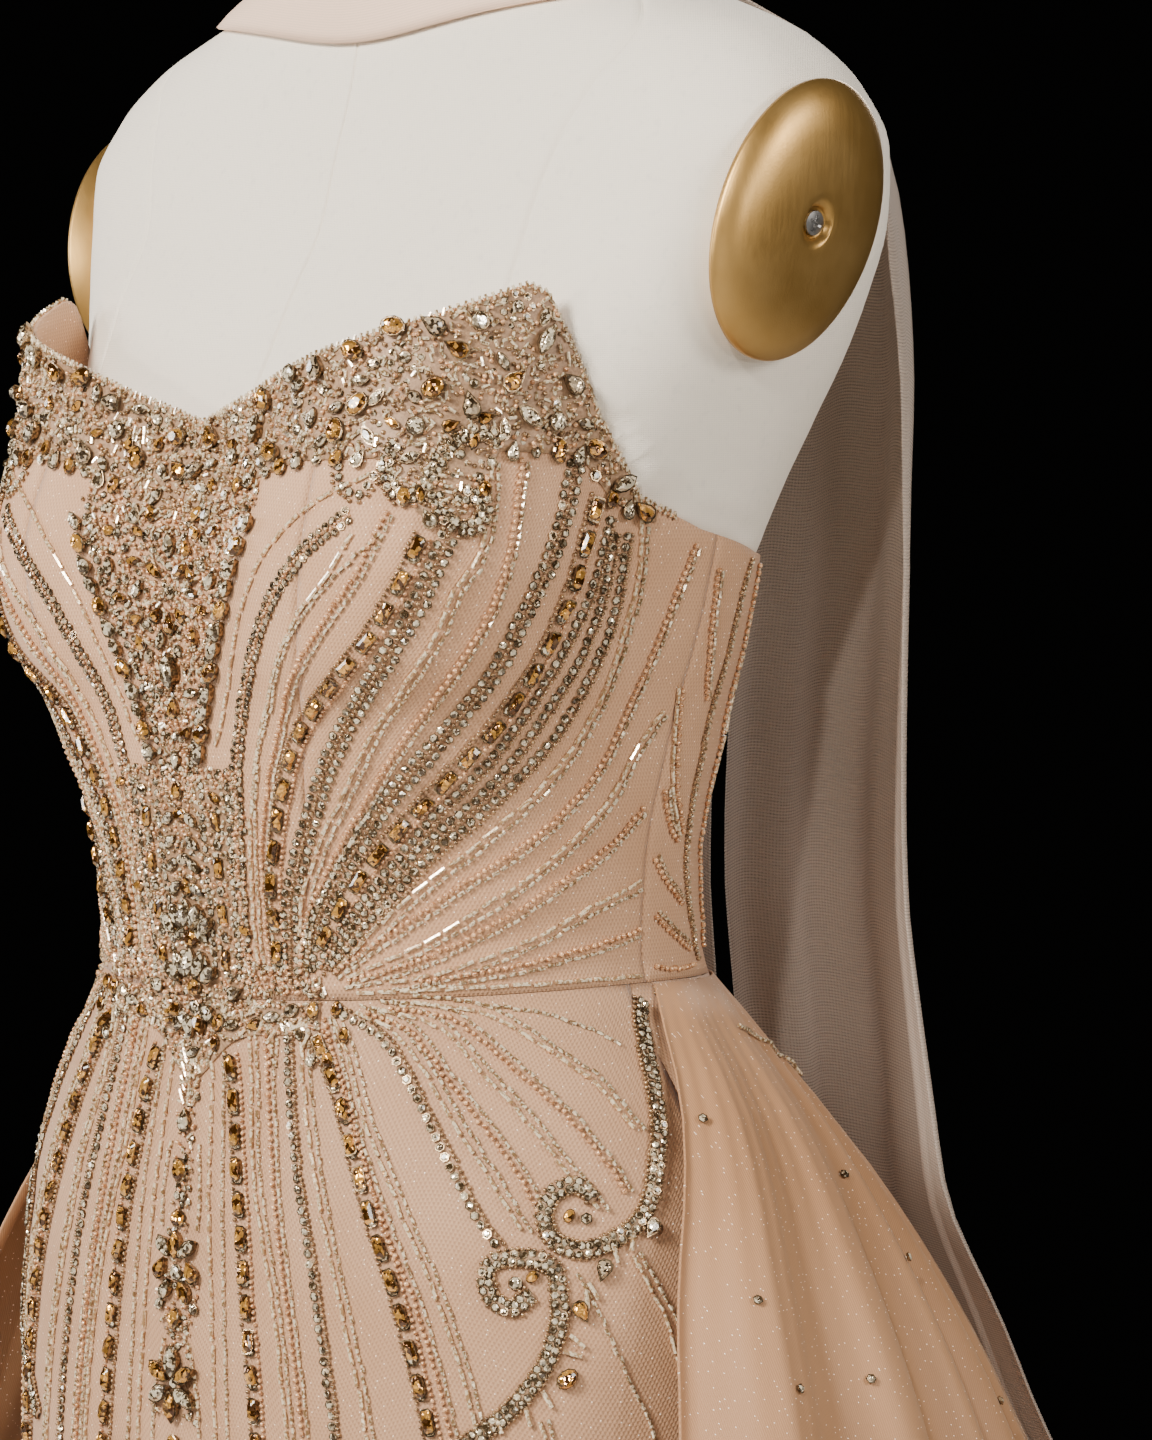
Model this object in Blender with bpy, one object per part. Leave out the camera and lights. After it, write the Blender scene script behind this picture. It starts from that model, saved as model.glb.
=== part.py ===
"""Strapless mermaid evening gown with a tulle overskirt, a collar and two cape panels, worn by a limbless dress form.

Metres, +Z up. The front faces -Y and the wearer's left is +X. The origin is on the floor, under the middle of the
waist. Every cloth surface is a function of a compass angle and a height: angle 0 is the centre front, 90 the
wearer's left side and 180 the centre back. Cloth pieces are walls between two grids of points on such a surface.
"""

import math
from collections import namedtuple

import bmesh
import bpy
import numpy as np

SEAM_GAP = 0.0003
CLOTH = 0.0016
TULLE = 0.0012
FORM_CLEARANCE = 0.0009
TRIM_CLEARANCE = 0.0006

HEM_HEIGHT = 0.008
FORM_BOTTOM = 0.870
SHOULDER_LEVEL = 1.404
NECK_TOP = 1.535
CUP_ANGLE = 42.0
CUP_SPREAD = 24.0

Level = namedtuple("Level", "height middle")

# How far behind the origin the middle of the body lies at each height.
AXIS = [
    Level(0.000, 0.012),
    Level(0.450, 0.004),
    Level(0.620, 0.002),
    Level(0.900, 0.004),
    Level(1.005, 0.002),
    Level(1.070, 0.000),
    Level(1.105, 0.000),
    Level(1.135, 0.002),
    Level(1.174, 0.007),
    Level(1.217, 0.014),
    Level(1.250, 0.020),
    Level(1.278, 0.024),
    Level(1.324, 0.031),
    Level(1.375, 0.035),
    Level(1.418, 0.037),
    Level(1.457, 0.037),
    Level(1.487, 0.035),
    Level(1.535, 0.031),
]

Section = namedtuple("Section", "height half_width front back squareness cup")

# The gown's outside from the hem to the tips of the cups, with the depth that each cup adds.
GOWN = [
    Section(0.000, 0.350, -0.300, 0.330, 2.1, 0.000),
    Section(0.120, 0.298, -0.250, 0.270, 2.1, 0.000),
    Section(0.240, 0.240, -0.194, 0.205, 2.1, 0.000),
    Section(0.360, 0.184, -0.140, 0.146, 2.1, 0.000),
    Section(0.450, 0.157, -0.110, 0.110, 2.1, 0.000),
    Section(0.530, 0.152, -0.103, 0.100, 2.1, 0.000),
    Section(0.620, 0.159, -0.105, 0.104, 2.1, 0.000),
    Section(0.720, 0.172, -0.109, 0.116, 2.2, 0.000),
    Section(0.820, 0.183, -0.113, 0.131, 2.2, 0.000),
    Section(0.900, 0.188, -0.115, 0.138, 2.2, 0.000),
    Section(0.960, 0.186, -0.114, 0.137, 2.2, 0.000),
    Section(1.005, 0.178, -0.112, 0.131, 2.2, 0.000),
    Section(1.035, 0.166, -0.109, 0.122, 2.2, 0.000),
    Section(1.060, 0.150, -0.106, 0.112, 2.2, 0.000),
    Section(1.086, 0.131, -0.104, 0.102, 2.2, 0.000),
    Section(1.105, 0.1265, -0.105, 0.098, 2.2, 0.000),
    Section(1.135, 0.1265, -0.109, 0.096, 2.2, 0.000),
    Section(1.156, 0.128, -0.111, 0.099, 2.2, 0.003),
    Section(1.174, 0.131, -0.112, 0.103, 2.2, 0.009),
    Section(1.194, 0.134, -0.1125, 0.107, 2.2, 0.016),
    Section(1.217, 0.139, -0.113, 0.111, 2.2, 0.028),
    Section(1.250, 0.143, -0.1135, 0.116, 2.2, 0.034),
    Section(1.305, 0.147, -0.0975, 0.124, 2.2, 0.033),
    Section(1.362, 0.150, -0.096, 0.130, 2.2, 0.026),
]

# The dress form above the waist; below it the form follows the inside of the gown.
FORM = [
    Section(1.080, 0.1275, -0.1005, 0.0985, 2.2, 0.000),
    Section(1.105, 0.1235, -0.1020, 0.0950, 2.2, 0.000),
    Section(1.135, 0.1235, -0.1060, 0.0930, 2.2, 0.000),
    Section(1.174, 0.1280, -0.1075, 0.1000, 2.2, 0.006),
    Section(1.217, 0.1355, -0.1070, 0.1080, 2.2, 0.020),
    Section(1.250, 0.1420, -0.1020, 0.1140, 2.2, 0.024),
    Section(1.278, 0.1520, -0.0920, 0.1190, 2.3, 0.020),
    Section(1.302, 0.1640, -0.0815, 0.1220, 2.4, 0.014),
    Section(1.324, 0.1750, -0.0700, 0.1220, 2.6, 0.008),
    Section(1.350, 0.1870, -0.0570, 0.1200, 2.8, 0.004),
    Section(1.378, 0.1960, -0.0420, 0.1150, 3.1, 0.001),
    Section(1.405, 0.1990, -0.0345, 0.1080, 3.2, 0.000),
    Section(1.428, 0.1900, -0.0275, 0.1020, 2.9, 0.000),
    Section(1.446, 0.1710, -0.0235, 0.0970, 2.5, 0.000),
    Section(1.464, 0.1280, -0.0200, 0.0930, 2.2, 0.000),
    Section(1.474, 0.0980, -0.0190, 0.0900, 2.1, 0.000),
    Section(1.485, 0.0780, -0.0185, 0.0860, 2.0, 0.000),
    Section(1.500, 0.0640, -0.0180, 0.0820, 2.0, 0.000),
    Section(1.535, 0.0560, -0.0180, 0.0760, 2.0, 0.000),
]

Edge = namedtuple("Edge", "angle height")

# The bodice's upper edge: the notch, the pointed tip of the cup, the underarm and the centre back.
NECKLINE = [
    Edge(0.0, 1.3020),
    Edge(15.0, 1.3130),
    Edge(30.0, 1.3280),
    Edge(44.0, 1.3400),
    Edge(56.0, 1.3520),
    Edge(58.5, 1.3490),
    Edge(67.5, 1.3040),
    Edge(76.5, 1.2740),
    Edge(90.0, 1.2620),
    Edge(107.0, 1.2530),
    Edge(128.0, 1.2480),
    Edge(155.0, 1.2400),
    Edge(180.0, 1.2360),
]

# The waist seam rises a little at the side.
WAIST = [
    Edge(0.0, 1.0840),
    Edge(30.0, 1.0870),
    Edge(90.0, 1.0920),
    Edge(140.0, 1.0890),
    Edge(180.0, 1.0880),
]

PRINCESS_SEAM = 30.0
SIDE_SEAM = 94.0
BACK_SEAM = 138.0
BACK_CLOSING = 180.0

Flow = namedtuple("Flow", "height side back front_edge fold_depth")

# The overskirt's outer reach at the side and the back, where its front edge runs, and how deep its folds are.
OVERSKIRT = [
    Flow(0.000, 0.580, 0.640, 60.0, 0.034),
    Flow(0.200, 0.532, 0.566, 62.0, 0.032),
    Flow(0.400, 0.468, 0.480, 64.0, 0.029),
    Flow(0.600, 0.394, 0.385, 66.0, 0.025),
    Flow(0.780, 0.320, 0.290, 69.0, 0.020),
    Flow(0.904, 0.260, 0.225, 73.0, 0.016),
    Flow(0.947, 0.240, 0.204, 75.0, 0.013),
    Flow(0.978, 0.223, 0.187, 77.0, 0.011),
    Flow(0.998, 0.210, 0.175, 79.0, 0.009),
    Flow(1.017, 0.197, 0.162, 81.5, 0.007),
    Flow(1.045, 0.175, 0.140, 86.0, 0.005),
    Flow(1.072, 0.149, 0.119, 91.0, 0.003),
    Flow(1.092, 0.1335, 0.106, 95.0, 0.0015),
]
FOLDS_EACH_SIDE = 9.0

Wing = namedtuple("Wing", "height inner outer reach fold_depth")

# One cape panel: the angles of its inner and outer edges, how far out it hangs, and the depth of its folds.
CAPE = [
    Wing(0.000, 170.0, 149.0, 0.170, 0.012),
    Wing(0.500, 173.0, 147.0, 0.190, 0.010),
    Wing(0.900, 177.0, 142.0, 0.203, 0.007),
    Wing(1.000, 178.0, 131.0, 0.204, 0.006),
    Wing(1.120, 178.5, 127.0, 0.194, 0.004),
    Wing(1.250, 178.7, 121.0, 0.184, 0.003),
    Wing(1.350, 178.7, 115.0, 0.176, 0.002),
    Wing(1.400, 178.7, 112.0, 0.168, 0.0015),
    Wing(1.430, 178.7, 109.0, 0.152, 0.001),
    Wing(1.458, 178.7, 106.0, 0.100, 0.0),
]
CAPE_WAVES = 4.0
CAPE_INNER_DRAW = 0.13
CAPE_CLEARANCE = 0.009
CAPE_LAP = 0.0046

Band = namedtuple("Band", "share stand_off")

# The collar lies on the neck of the form and puffs out a little above its lower edge.
COLLAR = [
    Band(0.00, 0.0028),
    Band(0.10, 0.0052),
    Band(0.35, 0.0072),
    Band(0.70, 0.0060),
    Band(1.00, 0.0036),
]
COLLAR_FRONT = 1.4480
COLLAR_SIDE = 1.4640
COLLAR_BACK = 1.4660
COLLAR_TOP = 1.5120

PLATE_CENTRE = (0.190, 0.0245, 1.376)
PLATE_UP = (0.15, 0.34, 0.930)
PLATE_HALF_HEIGHT = 0.0535
PLATE_HALF_WIDTH = 0.0405
PLATE_RISE = 0.012
PLATE_RIM = 0.002
SCREW_RADIUS = 0.0045
SEAT_DEPTH = 0.0030

BASE_RADIUS = 0.190
BASE_RIM = 0.010
POLE_RADIUS = 0.014
UPRIGHT = ((1, 0, 0), (0, 1, 0), (0, 0, 1))

FLUTES = 10
FLUTE_DEPTH = 0.020
FLUTE_TOP = 0.50

# Where the grids of the panels have their columns (angles) and rows (shares of the bodice, or heights on the skirt).
BODICE_MARKS = [0, 7.5, 15, 22.5, 30, 37, 44, 50, 56, 58.5, 63, 67.5, 76.5, 85, 94, 104, 115, 127, 138, 150, 165]
BODICE_ROWS = np.array([0.0, 0.16, 0.32, 0.47, 0.61, 0.73, 0.84, 0.92, 1.0])
ENCRUSTED_FROM = 6
SKIRT_SIDE = 90.0
SKIRT_BACK = 142.5
SKIRT_HEIGHTS = [HEM_HEIGHT, 0.13, 0.26, 0.38, 0.50, 0.66, FORM_BOTTOM, 0.92, 0.97, 1.02, 1.05, 1.07]
SKIRT_STEP = 7.5
BOTH_ENDS = ((0, 1), (-1, -2))

Mark = namedtuple("Mark", "angle height")

# The scroll border of the skirt front: down from the side of the waist into a curl, then a second curl and its stem.
HIP_SCROLL = [
    Mark(87.5, 1.070),
    Mark(86.0, 1.058),
    Mark(84.5, 1.046),
    Mark(82.0, 1.031),
    Mark(79.0, 1.014),
    Mark(75.5, 1.006),
    Mark(71.0, 1.001),
    Mark(67.5, 1.004),
    Mark(66.5, 1.012),
    Mark(68.0, 1.021),
    Mark(71.0, 1.024),
    Mark(73.0, 1.018),
]
FRONT_SCROLL = [
    Mark(64.5, 0.986),
    Mark(62.0, 0.980),
    Mark(59.5, 0.984),
    Mark(59.0, 0.992),
    Mark(61.5, 0.998),
    Mark(65.0, 0.998),
    Mark(67.5, 0.991),
    Mark(67.5, 0.980),
    Mark(66.5, 0.967),
    Mark(64.5, 0.955),
    Mark(61.0, 0.942),
    Mark(57.0, 0.932),
    Mark(51.5, 0.921),
    Mark(47.0, 0.908),
]


def smooth_curve(stations, values, wanted):
    """A smooth curve through the stations that never overshoots them (monotone cubic)."""
    x = np.asarray(stations, float)
    y = np.asarray(values, float)
    wanted = np.clip(np.asarray(wanted, float), x[0], x[-1])
    step = np.diff(x)
    rise = np.diff(y) / step
    before, after = rise[:-1], rise[1:]
    weight_a = 2 * step[1:] + step[:-1]
    weight_b = step[1:] + 2 * step[:-1]
    same_way = before * after > 0
    safe_before = np.where(same_way, before, 1.0)
    safe_after = np.where(same_way, after, 1.0)
    inner = (weight_a + weight_b) / (weight_a / safe_before + weight_b / safe_after)
    slope = np.concatenate([[rise[0]], np.where(same_way, inner, 0.0), [rise[-1]]])
    k = np.clip(np.searchsorted(x, wanted, side="right") - 1, 0, len(x) - 2)
    t = (wanted - x[k]) / step[k]
    return (
        y[k] * (1 + 2 * t) * (1 - t) ** 2
        + y[k + 1] * t * t * (3 - 2 * t)
        + step[k] * t * (1 - t) * (slope[k] * (1 - t) - slope[k + 1] * t)
    )


def column(table, name, where):
    """The named column of a table at these heights, or at these angles for a table of edges."""
    rows = sorted(table, key=lambda row: row[0])
    return smooth_curve([row[0] for row in rows], [getattr(row, name) for row in rows], where)


def corner_column(table, name, where):
    """As column, but in straight runs, so that corners stay sharp."""
    rows = sorted(table, key=lambda row: row[0])
    return np.interp(where, [row[0] for row in rows], [getattr(row, name) for row in rows])


def superellipse(angle, half_width, depth, squareness):
    """Distance from the middle to the outline in the direction of the angle."""
    across = np.abs(np.sin(angle)) / half_width
    along = np.abs(np.cos(angle)) / depth
    return (across**squareness + along**squareness) ** (-1.0 / squareness)


def body_radius(table, angle, height):
    """The outline of a body table at an angle in degrees and a height, with the cups added."""
    turn = np.radians(angle)
    middle = column(AXIS, "middle", height)
    depth = np.where(
        np.cos(turn) > 0,
        middle - column(table, "front", height),
        column(table, "back", height) - middle,
    )
    squareness = column(table, "squareness", height)
    radius = superellipse(turn, column(table, "half_width", height), depth, squareness)
    away = np.abs((np.asarray(angle) + 180.0) % 360.0 - 180.0) - CUP_ANGLE
    return radius + column(table, "cup", height) * np.exp(-((away / CUP_SPREAD) ** 2))


def placed(angle, height, radius):
    """Points at these angles, heights and distances from the middle line."""
    turn = np.radians(angle)
    middle = column(AXIS, "middle", height)
    return np.stack([radius * np.sin(turn), middle - radius * np.cos(turn), height + 0.0 * radius], -1)


def gown_surface(angle, height):
    """The gown's outside. The hem's flutes fade out at the knee."""
    flare = np.clip((FLUTE_TOP - height) / FLUTE_TOP, 0, 1) ** 1.3
    sway = 0.45 * np.sin(np.radians(3 * angle))
    wave = np.cos(np.radians(FLUTES * angle) + sway)
    radius = body_radius(GOWN, angle, height) + FLUTE_DEPTH * flare * wave
    return placed(angle, height, radius)


def form_surface(angle, height):
    """The dress form: inside the gown up to the neckline, its own table above, cut flat where the arms would be."""
    inside = gown_surface(angle, height) - (CLOTH + FORM_CLEARANCE) * normals(gown_surface, angle, height)
    middle = column(AXIS, "middle", height)
    reach = np.hypot(inside[..., 0], inside[..., 1] - middle)
    free = np.maximum(height - corner_column(NECKLINE, "height", np.abs(angle)) - 0.002, 0.0)
    own = body_radius(FORM, angle, height)
    wanted = np.where(height < 1.09, reach, np.minimum(own, reach + 1.6 * free))
    share = wanted / reach
    x = inside[..., 0] * share
    y = middle + (inside[..., 1] - middle) * share
    points = np.stack([x, y, inside[..., 2]], -1)
    for side in (1, -1):
        centre = np.array(PLATE_CENTRE) * (side, 1, 1)
        outward = plate_axes(side)[2]
        beyond = np.maximum((points - centre) @ outward, 0)
        points = points - beyond[..., None] * outward
    return points


def normals(surface, angle, height):
    """Unit outward normals, from small steps in angle and height."""
    turn, rise = 0.4, 0.002
    across = surface(angle + turn, height) - surface(angle - turn, height)
    up = surface(angle, height + rise) - surface(angle, height - rise)
    out = np.cross(across, up)
    return out / np.linalg.norm(out, axis=-1, keepdims=True)


def plate_axes(side):
    """Up, back and outward directions of an arm plate."""
    up = np.array(PLATE_UP) * (side, 1, 1)
    up = up / np.linalg.norm(up)
    back = np.array([0.0, 1.0, 0.0])
    outward = np.cross(back, up) * side
    outward = outward / np.linalg.norm(outward)
    return up, np.cross(outward, up) * -side, outward


def overskirt_reach(angle, height):
    """The overskirt's outermost reach, an ellipse at each height."""
    turn = np.radians(angle)
    return superellipse(turn, column(OVERSKIRT, "side", height), column(OVERSKIRT, "back", height), 2.0)


def overskirt_surface(share, height):
    """share 0 is the front edge and 1 the centre back. The first fold rolls in towards the skirt."""
    front = column(OVERSKIRT, "front_edge", height)
    angle = front + (BACK_CLOSING - front) * share
    depth = column(OVERSKIRT, "fold_depth", height)
    phase = FOLDS_EACH_SIDE * share + 0.16 * np.sin(2 * np.pi * (2.3 * share + 0.2))
    wave = 0.5 - 0.5 * np.cos(2 * np.pi * phase + 1.1)
    roll = np.exp(-((share / 0.035) ** 2))
    reach = overskirt_reach(angle, height) - depth * (0.85 * wave + 0.9 * roll)
    skirt = body_radius(GOWN, angle, height) + FLUTE_DEPTH * (height < FLUTE_TOP)
    fall = np.clip((1.095 - height) / 0.12, 0, 1)
    closest = skirt + 0.0022 + 0.004 * fall
    blend = 0.004
    radius = closest + blend * np.logaddexp(0, (reach - closest) / blend)
    sewn = np.clip((height - 1.074) / 0.013, 0, 1)
    radius = (1 - sewn) * radius + sewn * (skirt + 0.0019)
    return placed(angle, height, radius)


def collar_foot(angle):
    """Height of the collar's lower edge: low at the front, high at the nape."""
    turn = np.radians(angle)
    front_share = 0.5 + 0.5 * np.cos(turn)
    ends = COLLAR_FRONT * front_share + COLLAR_BACK * (1 - front_share)
    middle_level = 0.5 * (COLLAR_FRONT + COLLAR_BACK)
    return ends + (COLLAR_SIDE - middle_level) * np.sin(turn) ** 2


def collar_surface(angle, share):
    foot = collar_foot(angle)
    height = foot + (COLLAR_TOP - foot) * share
    stand_off = column(COLLAR, "stand_off", share)
    return form_surface(angle, height) + stand_off[..., None] * normals(form_surface, angle, height)


def cape_angle(share, height):
    """share 0 is the inner edge near the centre back and 1 the outer edge."""
    inner = column(CAPE, "inner", height)
    outer = column(CAPE, "outer", height)
    return inner + (outer - inner) * share


def cape_surface(share, height):
    """The cape hangs from the shoulder blades, falls clear of the back and then lies over the overskirt."""
    angle = cape_angle(share, height)
    depth = column(CAPE, "fold_depth", height)
    wave = 0.5 + 0.5 * np.cos(2 * np.pi * (CAPE_WAVES * share + 0.1 * np.sin(7 * share)) + 0.6)
    hang = column(CAPE, "reach", height) * (1.0 - CAPE_INNER_DRAW * np.clip(1 - share, 0, 1) ** 1.5)
    over = np.where(height < 1.06, overskirt_reach(angle, height) + 0.010, 0.0)
    form = form_surface(angle, np.maximum(height, 1.27))
    middle = column(AXIS, "middle", np.maximum(height, 1.27))
    form_out = np.hypot(form[..., 0], form[..., 1] - middle) + CAPE_CLEARANCE
    furthest = np.maximum(hang, form_out)
    blend = 0.006
    furthest = furthest + blend * np.logaddexp(0, (over - furthest) / blend)
    return placed(angle, height, furthest + depth * wave)


def principled(name, colour, roughness, metallic=0.0, alpha=1.0):
    material = bpy.data.materials.new(name)
    material.use_nodes = True
    shader = material.node_tree.nodes["Principled BSDF"]
    shader.inputs["Base Color"].default_value = (*colour, 1.0)
    shader.inputs["Roughness"].default_value = roughness
    shader.inputs["Metallic"].default_value = metallic
    shader.inputs["Alpha"].default_value = alpha
    return material


def make_object(name, vertices, faces, material, smooth_under=40.0):
    """One named object from points and faces, with its faces turned outwards."""
    mesh = bpy.data.meshes.new(name)
    mesh.from_pydata([tuple(map(float, v)) for v in vertices], [], faces)
    shape = bmesh.new()
    shape.from_mesh(mesh)
    bmesh.ops.recalc_face_normals(shape, faces=shape.faces)
    shape.to_mesh(mesh)
    shape.free()
    mesh.shade_smooth()
    mesh.set_sharp_from_angle(angle=math.radians(smooth_under))
    mesh.materials.append(material)
    thing = bpy.data.objects.new(name, mesh)
    bpy.context.scene.collection.objects.link(thing)
    return thing


def wall(name, outer, inner, material, round_ring=False):
    """A closed wall between two grids of points of the same size, both cut on the same diagonals."""
    rows, columns = outer.shape[:2]
    vertices = np.concatenate([outer.reshape(-1, 3), inner.reshape(-1, 3)])
    shift = rows * columns
    faces = []
    spans = columns if round_ring else columns - 1
    for i in range(rows - 1):
        for j in range(spans):
            k = (j + 1) % columns
            a, b = i * columns + j, i * columns + k
            c, d = (i + 1) * columns + k, (i + 1) * columns + j
            faces += [(a, b, c), (a, c, d)]
            faces += [(shift + a, shift + c, shift + b), (shift + a, shift + d, shift + c)]
    rims = [[(i, j) for j in range(columns)] for i in (0, rows - 1)]
    if not round_ring:
        rims += [[(i, j) for i in range(rows)] for j in (0, columns - 1)]
    for rim in rims:
        closing = rim + rim[:1] if round_ring else rim
        for (i, j), (m, n) in zip(closing, closing[1:]):
            a, b = i * columns + j, m * columns + n
            faces += [(a, b, shift + b), (a, shift + b, shift + a)]
    return make_object(name, vertices, faces, material)


def seam_columns(start, end, inside):
    """Angles from one seam to the next, with the marked angles between them."""
    return np.array([start] + [a for a in inside if start < a < end] + [end], float)


def open_seams(points, ends):
    """Draws the marked end columns of a grid in along the cloth, by half a seam's gap."""
    opened = points.copy()
    for end, neighbour in ends:
        along = points[:, neighbour] - points[:, end]
        along /= np.linalg.norm(along, axis=-1, keepdims=True)
        opened[:, end] += 0.5 * SEAM_GAP * along
    return opened


def bodice_grid(angles, rows):
    """Angles and heights of a bodice piece, from the waist seam to the neckline."""
    low = column(WAIST, "height", np.abs(angles)) + 0.5 * SEAM_GAP
    high = corner_column(NECKLINE, "height", np.abs(angles))
    height = low[None, :] + (high - low)[None, :] * rows[:, None]
    return np.broadcast_to(angles[None, :], height.shape), height


def cloth_piece(name, angle, height, material):
    out = normals(gown_surface, angle, height)
    outer = gown_surface(angle, height)
    return wall(name, open_seams(outer, BOTH_ENDS), open_seams(outer - CLOTH * out, BOTH_ENDS), material)


def make_bodice(cloth):
    pieces = [("bodice_centre_front", -PRINCESS_SEAM, PRINCESS_SEAM)]
    for word, side in (("left", 1), ("right", -1)):
        for part, start, end in (
            ("front", PRINCESS_SEAM, SIDE_SEAM),
            ("side", SIDE_SEAM, BACK_SEAM),
            ("back", BACK_SEAM, BACK_CLOSING),
        ):
            ends = sorted((side * start, side * end))
            pieces.append((f"bodice_{part}_{word}", *ends))
    marks = sorted({side * a for a in BODICE_MARKS for side in (1, -1)})
    for name, start, end in pieces:
        angles = seam_columns(start, end, marks)
        cloth_piece(name, *bodice_grid(angles, BODICE_ROWS), cloth)


def raised(name, angle, height, low, high, material):
    """An applique on the gown: the panel's own points moved out, with every other point standing proud."""
    out = normals(gown_surface, angle, height)
    ground = gown_surface(angle, height) + TRIM_CLEARANCE * out
    rows, columns = angle.shape
    checker = (np.add.outer(np.arange(rows), np.arange(columns)) % 2).astype(float)
    rise = low + (high - low) * checker
    rise[[0, -1], :] = low
    rise[:, [0, -1]] = low
    return wall(name, ground + rise[..., None] * out, ground, material)


def make_bodice_beading(stones):
    """Crusted bands under the neckline, with the centre panel between them down to the waist."""
    marks = sorted({side * a for a in BODICE_MARKS for side in (1, -1)})
    for word, side in (("left", 1), ("right", -1)):
        ends = sorted((side * 15.2, side * 87.0))
        angles = seam_columns(*ends, marks)
        angle, height = bodice_grid(angles, BODICE_ROWS[ENCRUSTED_FROM:])
        raised(f"neckline_beading_{word}", angle, height, 0.0012, 0.0036, stones)
    angles = seam_columns(-15.0, 15.0, marks)
    angle, height = bodice_grid(angles, BODICE_ROWS)
    raised("centre_beading", angle, height, 0.0012, 0.0034, stones)


def skirt_grid(angles):
    top = column(WAIST, "height", np.abs(angles)) - 0.5 * SEAM_GAP
    levels = np.array(SKIRT_HEIGHTS)
    height = np.concatenate([np.repeat(levels[:, None], len(angles), 1), top[None, :]])
    return np.broadcast_to(angles[None, :], height.shape), height


def make_skirt(cloth):
    """Five gores: one wide front, two sides and two backs."""
    marks = np.arange(-172.5, 180.0, SKIRT_STEP)
    pieces = [("skirt_front", -SKIRT_SIDE, SKIRT_SIDE)]
    for word, side in (("left", 1), ("right", -1)):
        for part, start, end in (("side", SKIRT_SIDE, SKIRT_BACK), ("back", SKIRT_BACK, BACK_CLOSING)):
            pieces.append((f"skirt_{part}_{word}", *sorted((side * start, side * end))))
    for name, start, end in pieces:
        angles = seam_columns(start, end, marks)
        cloth_piece(name, *skirt_grid(angles), cloth)


def make_back_zip(metal):
    """The closed zip: a narrow strip over the centre-back seam, from the neckline to the overskirt's top."""
    heights = np.array([1.0915, 1.112, 1.136, 1.158, 1.178, 1.196, 1.213, 1.2345])
    angles = np.array([179.0, 180.0, 181.0])
    angle, height = np.meshgrid(angles, heights)
    out = normals(gown_surface, angle, height)
    ground = gown_surface(angle, height) + 0.0005 * out
    wall("back_zip", ground + 0.0008 * out, ground, metal)


def bead_roll(name, route, side, material, half_width=0.0026, rise=0.0032, samples=26):
    """A raised roll of beads that follows a route on the gown, flat below and rounded above."""
    steps = np.linspace(0, len(route) - 1, samples)
    places = np.arange(len(route))
    angle = side * smooth_curve(places, [mark.angle for mark in route], steps)
    height = smooth_curve(places, [mark.height for mark in route], steps)
    centre = gown_surface(angle, height)
    out = normals(gown_surface, angle, height)
    along = np.gradient(centre, axis=0)
    along /= np.linalg.norm(along, axis=1, keepdims=True)
    across = np.cross(out, along)
    profile = [(-1.0, 0.2), (0.0, 1.0), (1.0, 0.2)]
    ground = centre + 0.0008 * out
    upper = np.stack([ground + half_width * w * across + rise * h * out for w, h in profile], 1)
    lower = np.stack([ground + half_width * w * across for w, _ in profile], 1)
    return wall(name, upper, lower, material)


def make_skirt_beading(stones):
    for word, side in (("left", 1), ("right", -1)):
        bead_roll(f"hip_scroll_{word}", HIP_SCROLL, side, stones)
        bead_roll(f"front_scroll_{word}", FRONT_SCROLL, side, stones)
    angles = np.linspace(-32.0, 32.0, 13)
    share = np.linspace(0, 1, 4)
    top = column(WAIST, "height", np.abs(angles)) - 0.0012
    drop = 0.012 + 0.018 * np.exp(-((angles / 9.0) ** 2))
    height = top[None, :] - drop[None, :] * (1 - share[:, None])
    angle = np.broadcast_to(angles[None, :], height.shape)
    raised("waist_beading", angle, height, 0.0012, 0.0040, stones)


def make_overskirt(tulle):
    heights = np.array([HEM_HEIGHT + 0.004, 0.26, 0.50, 0.72, 0.88, 0.96, 1.02, 1.06])
    shares = np.concatenate([[0, 0.012, 0.026, 0.044], np.linspace(0.07, 1, 30)])
    halfway = shares[np.searchsorted(shares, 0.5)]
    for word, side in (("left", 1), ("right", -1)):
        mirror = np.array([side, 1, 1])
        for part, wanted in (("side", shares <= halfway), ("back", shares >= halfway)):
            share = shares[wanted]
            top_angle = 95.0 + (BACK_CLOSING - 95.0) * share
            top = column(WAIST, "height", top_angle) - 0.0006
            height = np.concatenate([np.repeat(heights[:, None], len(share), 1), top[None, :]])
            spread = np.broadcast_to(share[None, :], height.shape)
            outer = overskirt_surface(spread, height)
            across = overskirt_surface(spread + 0.004, height) - overskirt_surface(spread - 0.004, height)
            up = overskirt_surface(spread, height + 0.002) - overskirt_surface(spread, height - 0.002)
            out = np.cross(across, up)
            out /= np.linalg.norm(out, axis=-1, keepdims=True)
            inner = outer - TULLE * out
            ends = BOTH_ENDS[1:] if part == "side" else BOTH_ENDS
            grids = [open_seams(grid, ends) * mirror for grid in (outer, inner)]
            wall(f"overskirt_{part}_{word}", *grids, tulle)


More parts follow.
